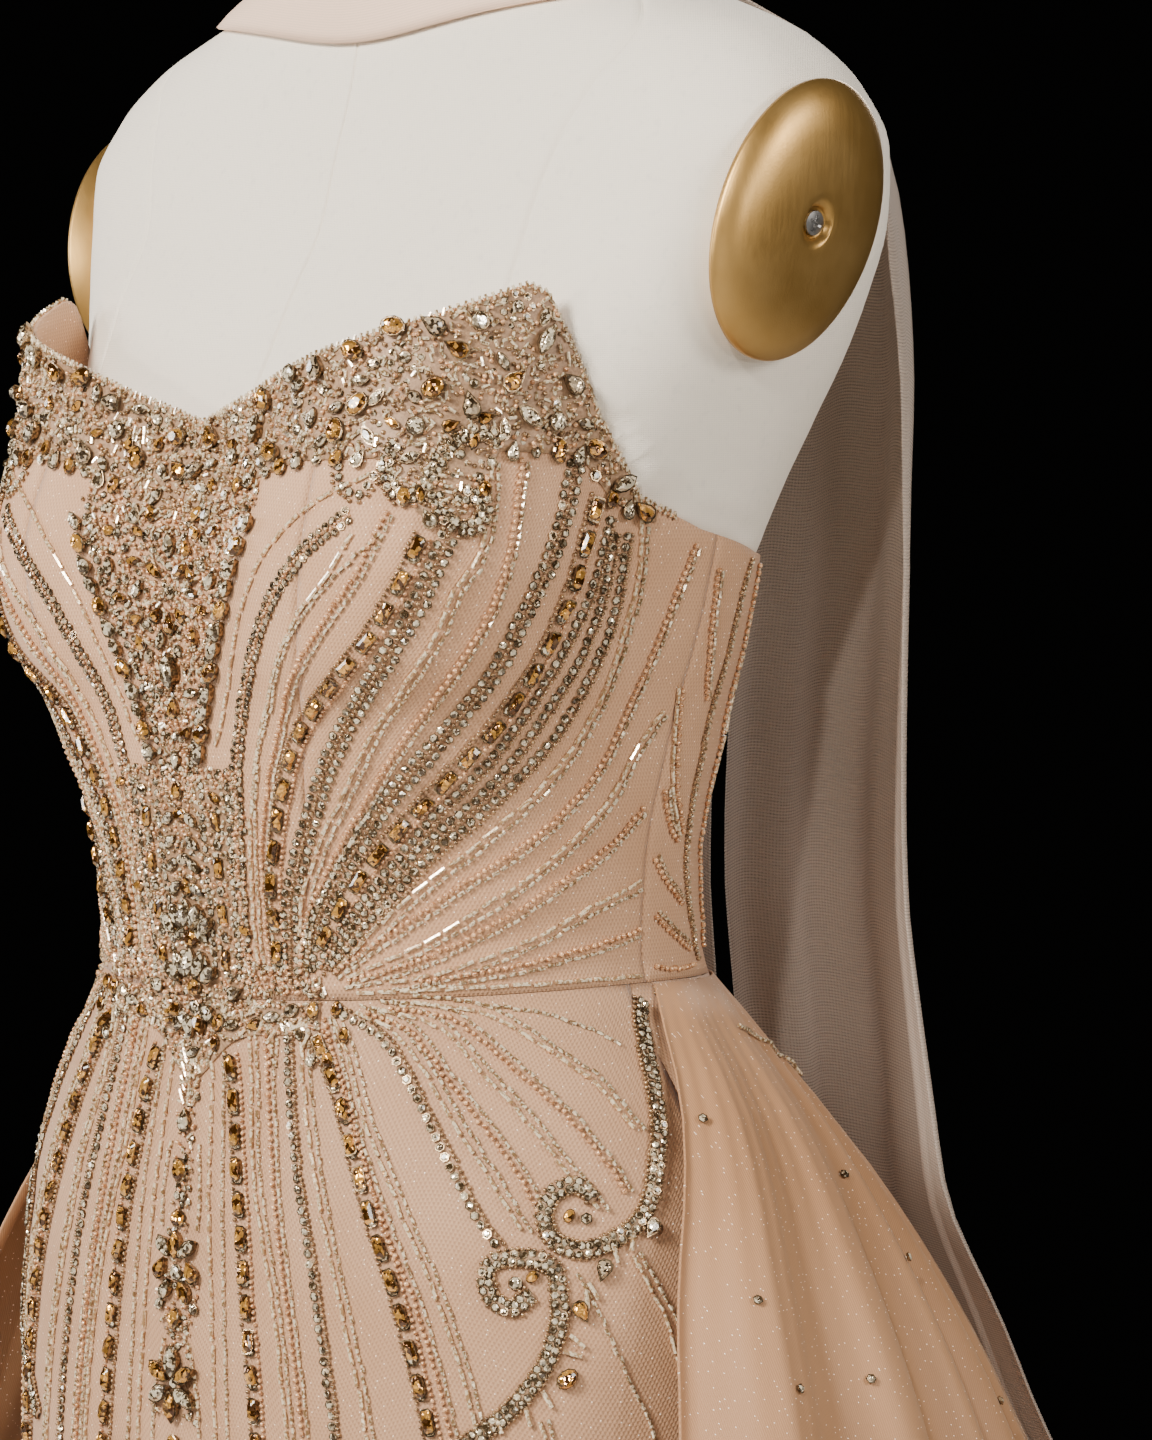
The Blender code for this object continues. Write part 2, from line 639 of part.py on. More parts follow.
def make_cape(sheer):
    """Two panels. Their top edges lie on the collar's lower edge, made from its own foot line."""
    heights = np.array([0.016, 0.22, 0.44, 0.64, 0.80, 0.92, 1.03, 1.15, 1.27, 1.35, 1.40, 1.430, 1.450])
    shares = np.linspace(0, 1, 14)
    share, height = np.meshgrid(shares, heights)
    outer = cape_surface(share, height)
    across = cape_surface(share + 0.01, height) - cape_surface(share - 0.01, height)
    up = cape_surface(share, height + 0.003) - cape_surface(share, height - 0.003)
    out = np.cross(up, across)
    out /= np.linalg.norm(out, axis=-1, keepdims=True)
    top_angle = cape_angle(shares, np.full_like(shares, CAPE[-1].height))
    foot = collar_foot(top_angle)
    top_out = normals(form_surface, top_angle, foot)
    top = form_surface(top_angle, foot) + CAPE_LAP * top_out
    outer = np.concatenate([outer, top[None]])
    inner = outer - TULLE * np.concatenate([out, top_out[None]])
    for word, side in (("left", 1), ("right", -1)):
        mirror = np.array([side, 1, 1])
        wall(f"cape_{word}", outer * mirror, inner * mirror, sheer)


def make_collar(sheer):
    angles = np.linspace(0, 360, 33)[:-1]
    angle, share = np.meshgrid(angles, np.array([row.share for row in COLLAR]))
    out = normals(collar_surface, angle, share * 0.98 + 0.01)
    outer = collar_surface(angle, share)
    wall("collar", outer, outer - CLOTH * out, sheer, round_ring=True)


def make_form(linen):
    """The torso, closed flat below and at the top of the neck. Inside the gown its grid is the gown's own."""
    angles = np.array(sorted({side * a for a in BODICE_MARKS + [180] for side in (1, -1)} - {-180}), float)
    neckline = corner_column(NECKLINE, "height", np.abs(angles))
    rows = [np.full_like(angles, level) for level in SKIRT_HEIGHTS if level >= FORM_BOTTOM]
    rows += list(bodice_grid(angles, BODICE_ROWS)[1])
    rows += [neckline + (SHOULDER_LEVEL - neckline) * share for share in (0.12, 0.34, 0.56, 0.78, 1.0)]
    rows += [np.full_like(angles, row.height) for row in FORM if row.height > SHOULDER_LEVEL]
    height = np.array(rows)
    angle = np.broadcast_to(angles[None, :], height.shape)
    points = form_surface(angle, height)
    tuck = np.array([0.0, 0.0, FORM_BOTTOM])
    points[0, :, 2] = FORM_BOTTOM
    points[0] = tuck + (points[0] - tuck) * (0.95, 0.95, 1.0)
    points[-1, :, 2] = NECK_TOP
    rows, columns = points.shape[:2]
    vertices = list(points.reshape(-1, 3))
    faces = []
    for i in range(rows - 1):
        for j in range(columns):
            k = (j + 1) % columns
            a, b = i * columns + j, i * columns + k
            faces += [(a, b, b + columns), (a, b + columns, a + columns)]
    for row, level in ((0, FORM_BOTTOM), (rows - 1, NECK_TOP)):
        ring = points[row]
        vertices.append(np.array([0.0, ring[:, 1].mean(), level]))
        hub = len(vertices) - 1
        faces += [(hub, row * columns + j, row * columns + (j + 1) % columns) for j in range(columns)]
    make_object("form_torso", vertices, faces, linen)


def turned(name, profile, material, centre, axes=UPRIGHT, sides=32):
    """The profile's radius and rise spun round the last of the three axes, closed at both ends."""
    first, second, along = np.array(axes, float)
    vertices, rings = [], []
    for radius, rise in profile:
        start = len(vertices)
        turns = [0.0] if radius == 0 else np.linspace(0, 2 * np.pi, sides, endpoint=False)
        for turn in turns:
            spoke = math.cos(turn) * first + math.sin(turn) * second
            vertices.append(np.array(centre) + radius * spoke + rise * along)
        rings.append([start + j % len(turns) for j in range(sides)])
    faces = []
    for low, high in zip(rings, rings[1:]):
        for j in range(sides):
            k = (j + 1) % sides
            corners = [low[j], low[k], high[k], high[j]]
            faces.append(tuple(dict.fromkeys(corners)))
    return make_object(name, vertices, faces, material)


def make_stand(metal, brass):
    base = [
        (0.0, 0.0),
        (BASE_RADIUS, 0.0),
        (BASE_RADIUS, BASE_RIM * 0.6),
        (BASE_RADIUS - 0.006, BASE_RIM),
        (0.060, 0.018),
        (0.024, 0.034),
        (0.022, 0.060),
        (0.0, 0.060),
    ]
    turned("stand_base", base, metal, (0.0, 0.0, 0.0))
    pole_foot = 0.060 + SEAM_GAP
    pole_top = FORM_BOTTOM - SEAM_GAP
    pole = [(0.0, pole_foot), (POLE_RADIUS, pole_foot), (POLE_RADIUS, pole_top), (0.0, pole_top)]
    turned("stand_pole", pole, metal, (0.0, 0.0, 0.0), sides=16)
    cap = [
        (0.0, 0.0),
        (0.050, 0.0),
        (0.051, 0.004),
        (0.044, 0.012),
        (0.014, 0.020),
        (0.009, 0.030),
        (0.015, 0.042),
        (0.013, 0.054),
        (0.0, 0.060),
    ]
    turned("neck_cap", cap, brass, (0.0, 0.0305, NECK_TOP + SEAM_GAP), sides=24)


def domed_plate(name, profile, seat, material, centre, axes):
    """An oval dome with a flat underside, from shares of its half sizes and rises, with a round dished seat on top."""
    back, up, outward = axes
    spins = np.linspace(0, 2 * np.pi, 24, endpoint=False)
    across = np.cos(spins)[:, None] * back
    along = np.sin(spins)[:, None] * up
    oval = PLATE_HALF_WIDTH * across + PLATE_HALF_HEIGHT * along
    rings = [centre + share * oval + rise * outward for share, rise in profile]
    seat_radius, seat_rise = seat
    rings.append(centre + seat_radius * (across + along) + seat_rise * outward)
    vertices = [point for ring in rings for point in ring] + [centre, centre + seat_rise * outward]
    count = len(spins)
    last = (len(rings) - 1) * count
    under, middle = len(vertices) - 2, len(vertices) - 1
    faces = []
    for j in range(count):
        k = (j + 1) % count
        for ring in range(0, last, count):
            faces.append((ring + j, ring + k, ring + count + k, ring + count + j))
        faces.append((under, k, j))
        faces.append((middle, last + j, last + k))
    return make_object(name, vertices, faces, material)


def make_arm_plates(brass, steel):
    """An oval domed plate closes each arm stump, held by one countersunk screw in a dished seat."""
    dome = [
        (1.0, 0.0),
        (1.0, PLATE_RIM),
        (0.93, 0.0052),
        (0.78, 0.0088),
        (0.5, 0.0112),
        (0.24, PLATE_RISE),
        (0.17, PLATE_RISE),
    ]
    seat = (1.6 * SCREW_RADIUS, PLATE_RISE - SEAT_DEPTH)
    head = [
        (0.0, 0.0),
        (SCREW_RADIUS, 0.0),
        (SCREW_RADIUS, 0.0010),
        (0.75 * SCREW_RADIUS, 0.0019),
        (0.0, 0.0022),
    ]
    for word, side in (("left", 1), ("right", -1)):
        up, back, outward = plate_axes(side)
        axes = (back, up, outward)
        centre = np.array(PLATE_CENTRE) * (side, 1, 1) + 0.0004 * outward
        domed_plate(f"arm_plate_{word}", dome, seat, brass, centre, axes)
        floor = centre + (seat[1] + SEAM_GAP) * outward
        turned(f"arm_screw_{word}", head, steel, floor, axes, sides=12)


def main():
    for thing in list(bpy.data.objects):
        bpy.data.objects.remove(thing)
    linen = principled("form_linen", (0.80, 0.77, 0.71), 0.9)
    brass = principled("form_brass", (0.56, 0.38, 0.17), 0.38, metallic=0.9)
    steel = principled("form_steel", (0.75, 0.75, 0.75), 0.3, metallic=1.0)
    metal = principled("stand_metal", (0.07, 0.065, 0.06), 0.45)
    blush = principled("gown_blush", (0.72, 0.50, 0.38), 0.75)
    stones = principled("gown_beading", (0.62, 0.50, 0.34), 0.2, metallic=0.5)
    tulle = principled("overskirt_tulle", (0.80, 0.56, 0.42), 0.8)
    sheer = principled("cape_tulle", (0.72, 0.58, 0.50), 0.85)
    make_form(linen)
    make_arm_plates(brass, steel)
    make_stand(metal, brass)
    make_bodice(blush)
    make_bodice_beading(stones)
    make_skirt(blush)
    make_skirt_beading(stones)
    make_back_zip(steel)
    make_overskirt(tulle)
    make_cape(sheer)
    make_collar(sheer)


main()
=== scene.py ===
# A strapless mermaid gown with a tulle overskirt, a collar and a sheer cape, on a limbless dress form.
# Metres, front towards -Y, wearer's left towards +X. Angles go round the body in degrees: 0 is the centre front,
# 90 the wearer's left side, 180 the centre back.
import math

import bpy
import numpy as np
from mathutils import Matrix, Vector


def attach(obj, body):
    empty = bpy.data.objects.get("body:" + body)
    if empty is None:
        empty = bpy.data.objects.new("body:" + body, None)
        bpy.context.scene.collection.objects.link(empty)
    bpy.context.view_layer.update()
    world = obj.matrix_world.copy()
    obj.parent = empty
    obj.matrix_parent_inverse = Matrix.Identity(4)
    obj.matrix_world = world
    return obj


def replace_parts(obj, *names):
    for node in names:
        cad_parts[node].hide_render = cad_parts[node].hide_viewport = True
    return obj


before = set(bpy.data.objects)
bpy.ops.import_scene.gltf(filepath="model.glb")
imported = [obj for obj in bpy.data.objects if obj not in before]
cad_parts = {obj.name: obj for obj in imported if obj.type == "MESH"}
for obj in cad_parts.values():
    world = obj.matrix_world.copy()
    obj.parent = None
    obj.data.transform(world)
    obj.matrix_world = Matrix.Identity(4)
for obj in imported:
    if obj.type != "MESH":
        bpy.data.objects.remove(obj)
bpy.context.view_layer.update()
chance = np.random.default_rng(41)
sides = (("Left", 1), ("Right", -1))

view = {
    "turn": 47.0, "rise": 3.0, "distance": 2.0, "aimAcross": 0.0675, "aimHeight": 1.186,
    "pixelsPerMetre": 2550.0, "framePixels": 1440, "sensor": 36.0,
}


def makeCamera():
    turn, rise = math.radians(view["turn"]), math.radians(view["rise"])
    aim = Vector((view["aimAcross"] * math.cos(turn), view["aimAcross"] * math.sin(turn), view["aimHeight"]))
    towards = Vector((math.sin(turn) * math.cos(rise), -math.cos(turn) * math.cos(rise), math.sin(rise)))
    lens = bpy.data.cameras.new("mainCamera")
    lens.sensor_width = view["sensor"]
    lens.lens = view["sensor"] * view["distance"] * view["pixelsPerMetre"] / view["framePixels"]
    camera = bpy.data.objects.new("mainCamera", lens)
    camera.location = aim + view["distance"] * towards
    camera.rotation_euler = (-towards).to_track_quat("-Z", "Y").to_euler()
    bpy.context.scene.collection.objects.link(camera)
    bpy.context.scene.camera = camera


lamps = {  # angle, height, distance, size, watts, colour
    "keyLamp": (2, 2.45, 2.2, 0.8, 106, (1.0, 0.955, 0.89)),
    "sideLamp": (102, 2.05, 2.2, 0.7, 29, (1.0, 0.95, 0.89)),
    "leftLamp": (-62, 1.75, 2.4, 0.7, 26, (1.0, 0.97, 0.94)),
    "lowLamp": (50, 0.60, 2.6, 0.8, 4, (1.0, 0.94, 0.87)),
    "backLamp": (205, 2.30, 2.6, 0.9, 26, (1.0, 0.97, 0.94)),
    "glintHigh": (36, 2.35, 2.4, 0.10, 24, (1.0, 0.96, 0.91)),
    "glintLeft": (-14, 1.55, 2.4, 0.10, 12, (1.0, 0.96, 0.91)),
    "glintSide": (82, 1.45, 2.4, 0.10, 8, (1.0, 0.96, 0.91)),
}
lampAim = (0, 0, 1.15)
studioDark = (0.0016, 0.0015, 0.0014)


def makeLamps():
    for name, (angle, height, distance, size, watts, colour) in lamps.items():
        lamp = bpy.data.lights.new(name, "AREA")
        lamp.shape = "DISK"
        lamp.size = size
        lamp.energy = watts
        lamp.color = colour
        turn = math.radians(angle)
        thing = bpy.data.objects.new(name, lamp)
        thing.location = (distance * math.sin(turn), -distance * math.cos(turn), height)
        thing.rotation_euler = (Vector(lampAim) - thing.location).to_track_quat("-Z", "Y").to_euler()
        bpy.context.scene.collection.objects.link(thing)
    world = bpy.data.worlds.new("studio")
    world.use_nodes = True
    world.node_tree.nodes["Background"].inputs["Color"].default_value = (*studioDark, 1)
    bpy.context.scene.world = world


makeCamera()
makeLamps()
print("camera and lamps")


class Wire:  # one output of a shader tree: sums written on wires add Math nodes
    def __init__(self, finish, out):
        self.finish, self.out = finish, out

    def sum(self, operation, first, second=0.0, clamp=False):
        return self.finish.node("Math", {"operation": operation, "use_clamp": clamp}, {0: first, 1: second})

    def __add__(self, other):
        return self.sum("ADD", self, other)

    def __mul__(self, other):
        return self.sum("MULTIPLY", self, other)

    def __sub__(self, other):
        return self.sum("SUBTRACT", self, other)

    def __rsub__(self, other):
        return self.sum("SUBTRACT", other, self)

    def sin(self):
        return self.sum("SINE", self)

    def wave(self, pitch):  # 0 to 1 and back once in a pitch
        return (self * (2 * math.pi / pitch)).sin() * 0.5 + 0.5

    def above(self, low, high):  # 0 below low, 1 above high
        return self.sum("MULTIPLY", self - low, 1.0 / (high - low), clamp=True)

    __radd__ = __add__
    __rmul__ = __mul__


class Finish:  # one material: node() is the only way in which its nodes are made
    def __init__(self, name):
        self.material = bpy.data.materials.new(name)
        self.material.use_nodes = True
        self.tree = self.material.node_tree
        self.shader = self.tree.nodes["Principled BSDF"]

    def feed(self, socket, value):
        if isinstance(value, Wire):
            self.tree.links.new(value.out, socket)
        elif hasattr(value, "__len__") and len(value) == 3 and socket.type == "RGBA":
            socket.default_value = (*value, 1.0)
        else:
            socket.default_value = value

    def node(self, kind, settings=None, values=None, out=0):
        made = self.tree.nodes.new("ShaderNode" + kind)
        for key, value in (settings or {}).items():
            setattr(made, key, value)
        for key, value in (values or {}).items():
            self.feed(made.inputs[key], value)
        return Wire(self, made.outputs[out])

    def set(self, **values):  # names of Principled sockets, with _ for a space
        for key, value in values.items():
            self.feed(self.shader.inputs[key.replace("_", " ")], value)
        return self

    def mix(self, share, first, second):  # of two colours
        return self.node("Mix", {"data_type": "RGBA"}, {0: share, 6: first, 7: second}, out=2)

    def place(self):  # Object coordinates
        return self.node("TexCoord", out=3)

    def parts(self, vector):  # the three numbers of a vector
        split = self.node("SeparateXYZ", None, {0: vector})
        return [Wire(self, socket) for socket in split.out.node.outputs]

    def cloth(self):  # across and along the cloth, in metres
        uv = self.node("UVMap", {"uv_map": "clothMetres"})
        across, along, _ = self.parts(uv)
        return uv, across, along

    def noise(self, scale, detail=3.0, where=None):
        return self.node("TexNoise", None, {"Vector": where or self.place(), "Scale": scale, "Detail": detail})

    def bump(self, height, distance, strength=1.0):
        return self.node("Bump", None, {"Height": height, "Distance": distance, "Strength": strength})


def glitter(finish, uv, cell, share, size):  # specks: one per cell, kept where its random colour is high
    settings = {"voronoi_dimensions": "2D", "feature": "F1"}
    values = {"Vector": uv, "Scale": 1.0 / cell, "Randomness": 1.0}
    near = finish.node("TexVoronoi", settings, values)
    colour = finish.node("TexVoronoi", settings, values, out=1)
    lucky = finish.node("SeparateColor", None, {0: colour}, out=0)
    return (1.0 - near.above(size * 0.6, size)) * lucky.above(1.0 - share, 1.0 - share + 0.02)


def netPattern(across, along, pitch):  # the sum of three slanted waves is high in the holes of the net
    waveNumber = 2 * math.pi / pitch
    slant = (across * 0.866 + along * 0.5) * waveNumber
    other = (across * 0.866 - along * 0.5) * waveNumber
    upright = along * waveNumber
    return (slant.sin() + other.sin() + upright.sin() * 0.6).above(-0.9, 1.5)


gownTulle = {
    "deep": (0.590, 0.332, 0.182), "light": (0.670, 0.398, 0.232), "hole": (0.390, 0.197, 0.100), "net": 0.0015,
    "speck": (0.95, 0.84, 0.68), "paintedGlint": (1.0, 0.82, 0.62), "speckCell": 0.0036, "speckShare": 0.30,
    "speckSize": 0.075, "paintedGlintStrength": 0.7, "relief": 0.00022,
}


# The cloth's colours are scaled by the share kept. A share below 1 is painted shade: the same cloth shown as lit less.
def gownCloth(name, keptUnderPaintedShade):  # shade: how much of the colour is left
    f = Finish(name)
    uv, across, along = f.cloth()
    holes = netPattern(across, along, gownTulle["net"])
    deep, light, hole = ([c * keptUnderPaintedShade for c in gownTulle[key]] for key in ("deep", "light", "hole"))
    base = f.mix(f.noise(26.0, 4.0).above(0.3, 0.7), deep, light)
    base = f.mix(holes * 0.62, base, hole)
    specks = glitter(f, uv, *(gownTulle[key] for key in ("speckCell", "speckShare", "speckSize")))
    base = f.mix(specks, base, gownTulle["speck"])
    # The specks are pale glitter flakes, and they also glow: a painted glint on each, not a lamp.
    paintedGlint = f.mix(specks, (0, 0, 0), gownTulle["paintedGlint"])
    f.set(Base_Color=base, Roughness=0.62 - specks * 0.4, Emission_Color=paintedGlint)
    f.set(Emission_Strength=gownTulle["paintedGlintStrength"], Sheen_Weight=0.25, Sheen_Roughness=0.4, Specular_IOR_Level=0.35)
    f.set(Normal=f.bump(1.0 - holes, gownTulle["relief"], 0.7))
    return f.material


overskirtTulle = {
    "deep": (0.375, 0.184, 0.083), "light": (0.440, 0.228, 0.110), "rib": (0.82, 0.54, 0.34), "ribPitch": 0.00085,
    "speck": (1.0, 0.88, 0.72), "paintedGlint": (1.0, 0.84, 0.66), "speckCell": 0.0030, "speckShare": 0.34,
    "speckSize": 0.075, "paintedGlintStrength": 0.8, "sheen": (1.0, 0.80, 0.62), "relief": 0.0001,
}


def overskirtCloth():
    f = Finish("overskirtTulle")
    uv, across, along = f.cloth()
    ribs = across.wave(overskirtTulle["ribPitch"])
    base = f.mix(f.noise(9.0, 4.0).above(0.3, 0.7), overskirtTulle["deep"], overskirtTulle["light"])
    base = f.mix(ribs * 0.16, base, overskirtTulle["rib"])
    specks = glitter(f, uv, *(overskirtTulle[key] for key in ("speckCell", "speckShare", "speckSize")))
    base = f.mix(specks, base, overskirtTulle["speck"])
    # The specks are pale glitter flakes, and they also glow: a painted glint on each, not a lamp.
    paintedGlint = f.mix(specks, (0, 0, 0), overskirtTulle["paintedGlint"])
    f.set(Base_Color=base, Roughness=0.58 - specks * 0.4, Emission_Color=paintedGlint)
    f.set(Emission_Strength=overskirtTulle["paintedGlintStrength"], Sheen_Weight=0.32, Sheen_Roughness=0.35)
    f.set(Sheen_Tint=overskirtTulle["sheen"], Specular_IOR_Level=0.3)
    f.set(Normal=f.bump(ribs, overskirtTulle["relief"], 0.5))
    return f.material


def sheerNet(name, tint, between, onRibs, ribPitch):  # how opaque the net is between and on its ribs
    f = Finish(name)
    uv, across, along = f.cloth()
    ribs = (along + f.noise(30.0, 2.0) * 0.0012).wave(ribPitch)
    weave = ribs * 0.7 + across.wave(0.0016) * 0.3
    base = f.mix(f.noise(7.0, 3.0).above(0.3, 0.7), tint, [c * 1.15 for c in tint])
    f.set(Base_Color=base, Alpha=weave * (onRibs - between) + between, Roughness=0.7, Specular_IOR_Level=0.25)
    f.set(Sheen_Weight=0.08, Sheen_Roughness=0.4, Normal=f.bump(ribs, 0.0001, 0.4))
    return f.material


formCloth = {
    "deep": (0.880, 0.800, 0.680), "light": (0.930, 0.850, 0.730), "thread": (0.60, 0.555, 0.475),
    "slub": (0.56, 0.53, 0.47), "warp": 0.0009, "weft": 0.0007, "relief": 0.00018,
}


def linen():
    f = Finish("formLinen")
    x, y, z = f.parts(f.place())
    drift = f.noise(40.0, 2.0) * 0.0012
    weave = (x + y + drift).wave(formCloth["warp"]) * (z + drift).wave(formCloth["weft"])
    slub = f.noise(240.0, 4.0)
    base = f.mix(f.noise(5.0, 3.0).above(0.3, 0.75), formCloth["deep"], formCloth["light"])
    base = f.mix(weave * 0.38, base, formCloth["thread"])
    base = f.mix(slub.above(0.58, 0.75) * 0.22, base, formCloth["slub"])
    f.set(Base_Color=base, Roughness=0.86, Specular_IOR_Level=0.25, Sheen_Weight=0.15)
    f.set(Normal=f.bump(weave + slub * 0.5, formCloth["relief"], 0.6))
    return f.material


def brass():  # brushed upwards
    f = Finish("satinBrass")
    stretched = f.node("Mapping", None, {"Vector": f.place(), "Scale": (900.0, 900.0, 14.0)})
    strokes = f.noise(1.0, 2.0, stretched)
    clouds = f.noise(34.0, 3.0)
    grain = f.noise(1500.0, 2.0)
    base = f.mix(clouds.above(0.3, 0.7), (0.430, 0.245, 0.068), (0.520, 0.318, 0.105))
    f.set(Base_Color=base, Metallic=0.85, Roughness=clouds * 0.10 + strokes * 0.12 + 0.28)
    f.set(Normal=f.bump(strokes * 0.5 + grain, 0.00006, 0.6))
    return f.material


def metal(name, dark, pale, roughness, scale=60.0, metallic=1.0):
    f = Finish(name)
    clouds = f.noise(scale, 3.0)
    f.set(Base_Color=f.mix(clouds.above(0.35, 0.65), dark, pale), Metallic=metallic)
    f.set(Roughness=clouds * 0.1 + roughness)
    return f.material


def glass(name, dark, pale, roughness, metallic, coat, facet):  # facet: size of the cut facets, 0 for round beads
    f = Finish(name)
    if facet:  # facets inside a stone: random cells, dark or bright, each a small pyramid
        # Each cell's colour is dark or pale: painted dark reflections and painted glints on the facets. Only the bump
        # really tilts them.
        settings = {"feature": "F1", "distance": "MANHATTAN"}
        values = {"Vector": f.place(), "Scale": 1.0 / facet, "Randomness": 1.0}
        facetReflection = f.node("SeparateColor", None, {0: f.node("TexVoronoi", settings, values, out=1)}, out=0)
        near = f.node("TexVoronoi", settings, values)
        base = f.mix(facetReflection.above(0.38, 0.66), dark, pale)
        f.set(Normal=f.bump(near, facet * 0.30, 0.55))
    else:
        # A fine noise splits each bead into dark and pale patches: painted dark reflections and painted highlights
        # broken along it.
        base = f.mix(f.noise(760.0, 1.0).above(0.42, 0.57), dark, pale)
    f.set(Base_Color=base, Metallic=metallic, Roughness=roughness, Coat_Weight=coat, Coat_Roughness=0.03)
    f.set(Specular_IOR_Level=0.6)
    return f.material


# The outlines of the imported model's forms, in metres and degrees.
axisRows = np.array([  # height, middle
    [0.000, 0.012], [0.450, 0.004], [0.620, 0.002], [0.900, 0.004], [1.005, 0.002], [1.070, 0.000], [1.105, 0.000],
    [1.135, 0.002], [1.174, 0.007], [1.217, 0.014], [1.250, 0.020], [1.278, 0.024], [1.324, 0.031], [1.375, 0.035],
    [1.418, 0.037], [1.457, 0.037], [1.487, 0.035], [1.535, 0.031],
])
gownRows = np.array([  # height, half width, front, back, squareness, cup
    [0.000, 0.350, -0.300, 0.330, 2.1, 0.000], [0.120, 0.298, -0.250, 0.270, 2.1, 0.000],
    [0.240, 0.240, -0.194, 0.205, 2.1, 0.000], [0.360, 0.184, -0.140, 0.146, 2.1, 0.000],
    [0.450, 0.157, -0.110, 0.110, 2.1, 0.000], [0.530, 0.152, -0.103, 0.100, 2.1, 0.000],
    [0.620, 0.159, -0.105, 0.104, 2.1, 0.000], [0.720, 0.172, -0.109, 0.116, 2.2, 0.000],
    [0.820, 0.183, -0.113, 0.131, 2.2, 0.000], [0.900, 0.188, -0.115, 0.138, 2.2, 0.000],
    [0.960, 0.186, -0.114, 0.137, 2.2, 0.000], [1.005, 0.178, -0.112, 0.131, 2.2, 0.000],
    [1.035, 0.166, -0.109, 0.122, 2.2, 0.000], [1.060, 0.150, -0.106, 0.112, 2.2, 0.000],
    [1.086, 0.131, -0.104, 0.102, 2.2, 0.000], [1.105, 0.1265, -0.105, 0.098, 2.2, 0.000],
    [1.135, 0.1265, -0.109, 0.096, 2.2, 0.000], [1.156, 0.128, -0.111, 0.099, 2.2, 0.003],
    [1.174, 0.131, -0.112, 0.103, 2.2, 0.009], [1.194, 0.134, -0.1125, 0.107, 2.2, 0.016],
    [1.217, 0.139, -0.113, 0.111, 2.2, 0.028], [1.250, 0.143, -0.1135, 0.116, 2.2, 0.034],
    [1.305, 0.147, -0.0975, 0.124, 2.2, 0.033], [1.362, 0.150, -0.096, 0.130, 2.2, 0.026],
])
formRows = np.array([  # the same columns for the dress form above the waist
    [1.080, 0.1275, -0.1005, 0.0985, 2.2, 0.000], [1.105, 0.1235, -0.1020, 0.0950, 2.2, 0.000],
    [1.135, 0.1235, -0.1060, 0.0930, 2.2, 0.000], [1.174, 0.1280, -0.1075, 0.1000, 2.2, 0.006],
    [1.217, 0.1355, -0.1070, 0.1080, 2.2, 0.020], [1.250, 0.1420, -0.1020, 0.1140, 2.2, 0.024],
    [1.278, 0.1520, -0.0920, 0.1190, 2.3, 0.020], [1.302, 0.1640, -0.0815, 0.1220, 2.4, 0.014],
    [1.324, 0.1750, -0.0700, 0.1220, 2.6, 0.008], [1.350, 0.1870, -0.0570, 0.1200, 2.8, 0.004],
    [1.378, 0.1960, -0.0420, 0.1150, 3.1, 0.001], [1.405, 0.1990, -0.0345, 0.1080, 3.2, 0.000],
    [1.428, 0.1900, -0.0275, 0.1020, 2.9, 0.000], [1.446, 0.1710, -0.0235, 0.0970, 2.5, 0.000],
    [1.464, 0.1280, -0.0200, 0.0930, 2.2, 0.000], [1.474, 0.0980, -0.0190, 0.0900, 2.1, 0.000],
    [1.485, 0.0780, -0.0185, 0.0860, 2.0, 0.000], [1.500, 0.0640, -0.0180, 0.0820, 2.0, 0.000],
    [1.535, 0.0560, -0.0180, 0.0760, 2.0, 0.000],
])
necklineRows = np.array([  # angle, height
    [0.0, 1.3020], [15.0, 1.3130], [30.0, 1.3280], [44.0, 1.3400], [56.0, 1.3520], [58.5, 1.3490], [67.5, 1.3040],
    [76.5, 1.2740], [90.0, 1.2620], [107.0, 1.2530], [128.0, 1.2480], [155.0, 1.2400], [180.0, 1.2360],
])
waistRows = np.array([[0.0, 1.0840], [30.0, 1.0870], [90.0, 1.0920], [140.0, 1.0890], [180.0, 1.0880]])
overskirtRows = np.array([  # height, side, back, front edge's angle, fold depth
    [0.000, 0.580, 0.640, 60.0, 0.034], [0.200, 0.532, 0.566, 62.0, 0.032], [0.400, 0.468, 0.480, 64.0, 0.029],
    [0.600, 0.394, 0.385, 66.0, 0.025], [0.780, 0.320, 0.290, 69.0, 0.020], [0.904, 0.260, 0.225, 73.0, 0.016],
    [0.947, 0.240, 0.204, 75.0, 0.013], [0.978, 0.223, 0.187, 77.0, 0.011], [0.998, 0.210, 0.175, 79.0, 0.009],
    [1.017, 0.197, 0.162, 81.5, 0.007], [1.045, 0.175, 0.140, 86.0, 0.005], [1.072, 0.149, 0.119, 91.0, 0.003],
    [1.092, 0.1335, 0.106, 95.0, 0.0015],
])
capeRows = np.array([  # height, inner angle, outer angle, reach, fold depth
    [0.000, 170.0, 149.0, 0.170, 0.012], [0.500, 173.0, 147.0, 0.190, 0.010], [0.900, 177.0, 142.0, 0.203, 0.007],
    [1.000, 178.0, 131.0, 0.204, 0.006], [1.120, 178.5, 127.0, 0.194, 0.004], [1.250, 178.7, 121.0, 0.184, 0.003],
    [1.350, 178.7, 115.0, 0.176, 0.002], [1.400, 178.7, 112.0, 0.168, 0.0015], [1.430, 178.7, 109.0, 0.152, 0.001],
    [1.458, 178.7, 106.0, 0.100, 0.0],
])
collarRows = np.array([[0.00, 0.0028], [0.10, 0.0052], [0.35, 0.0072], [0.70, 0.0060], [1.00, 0.0036]])


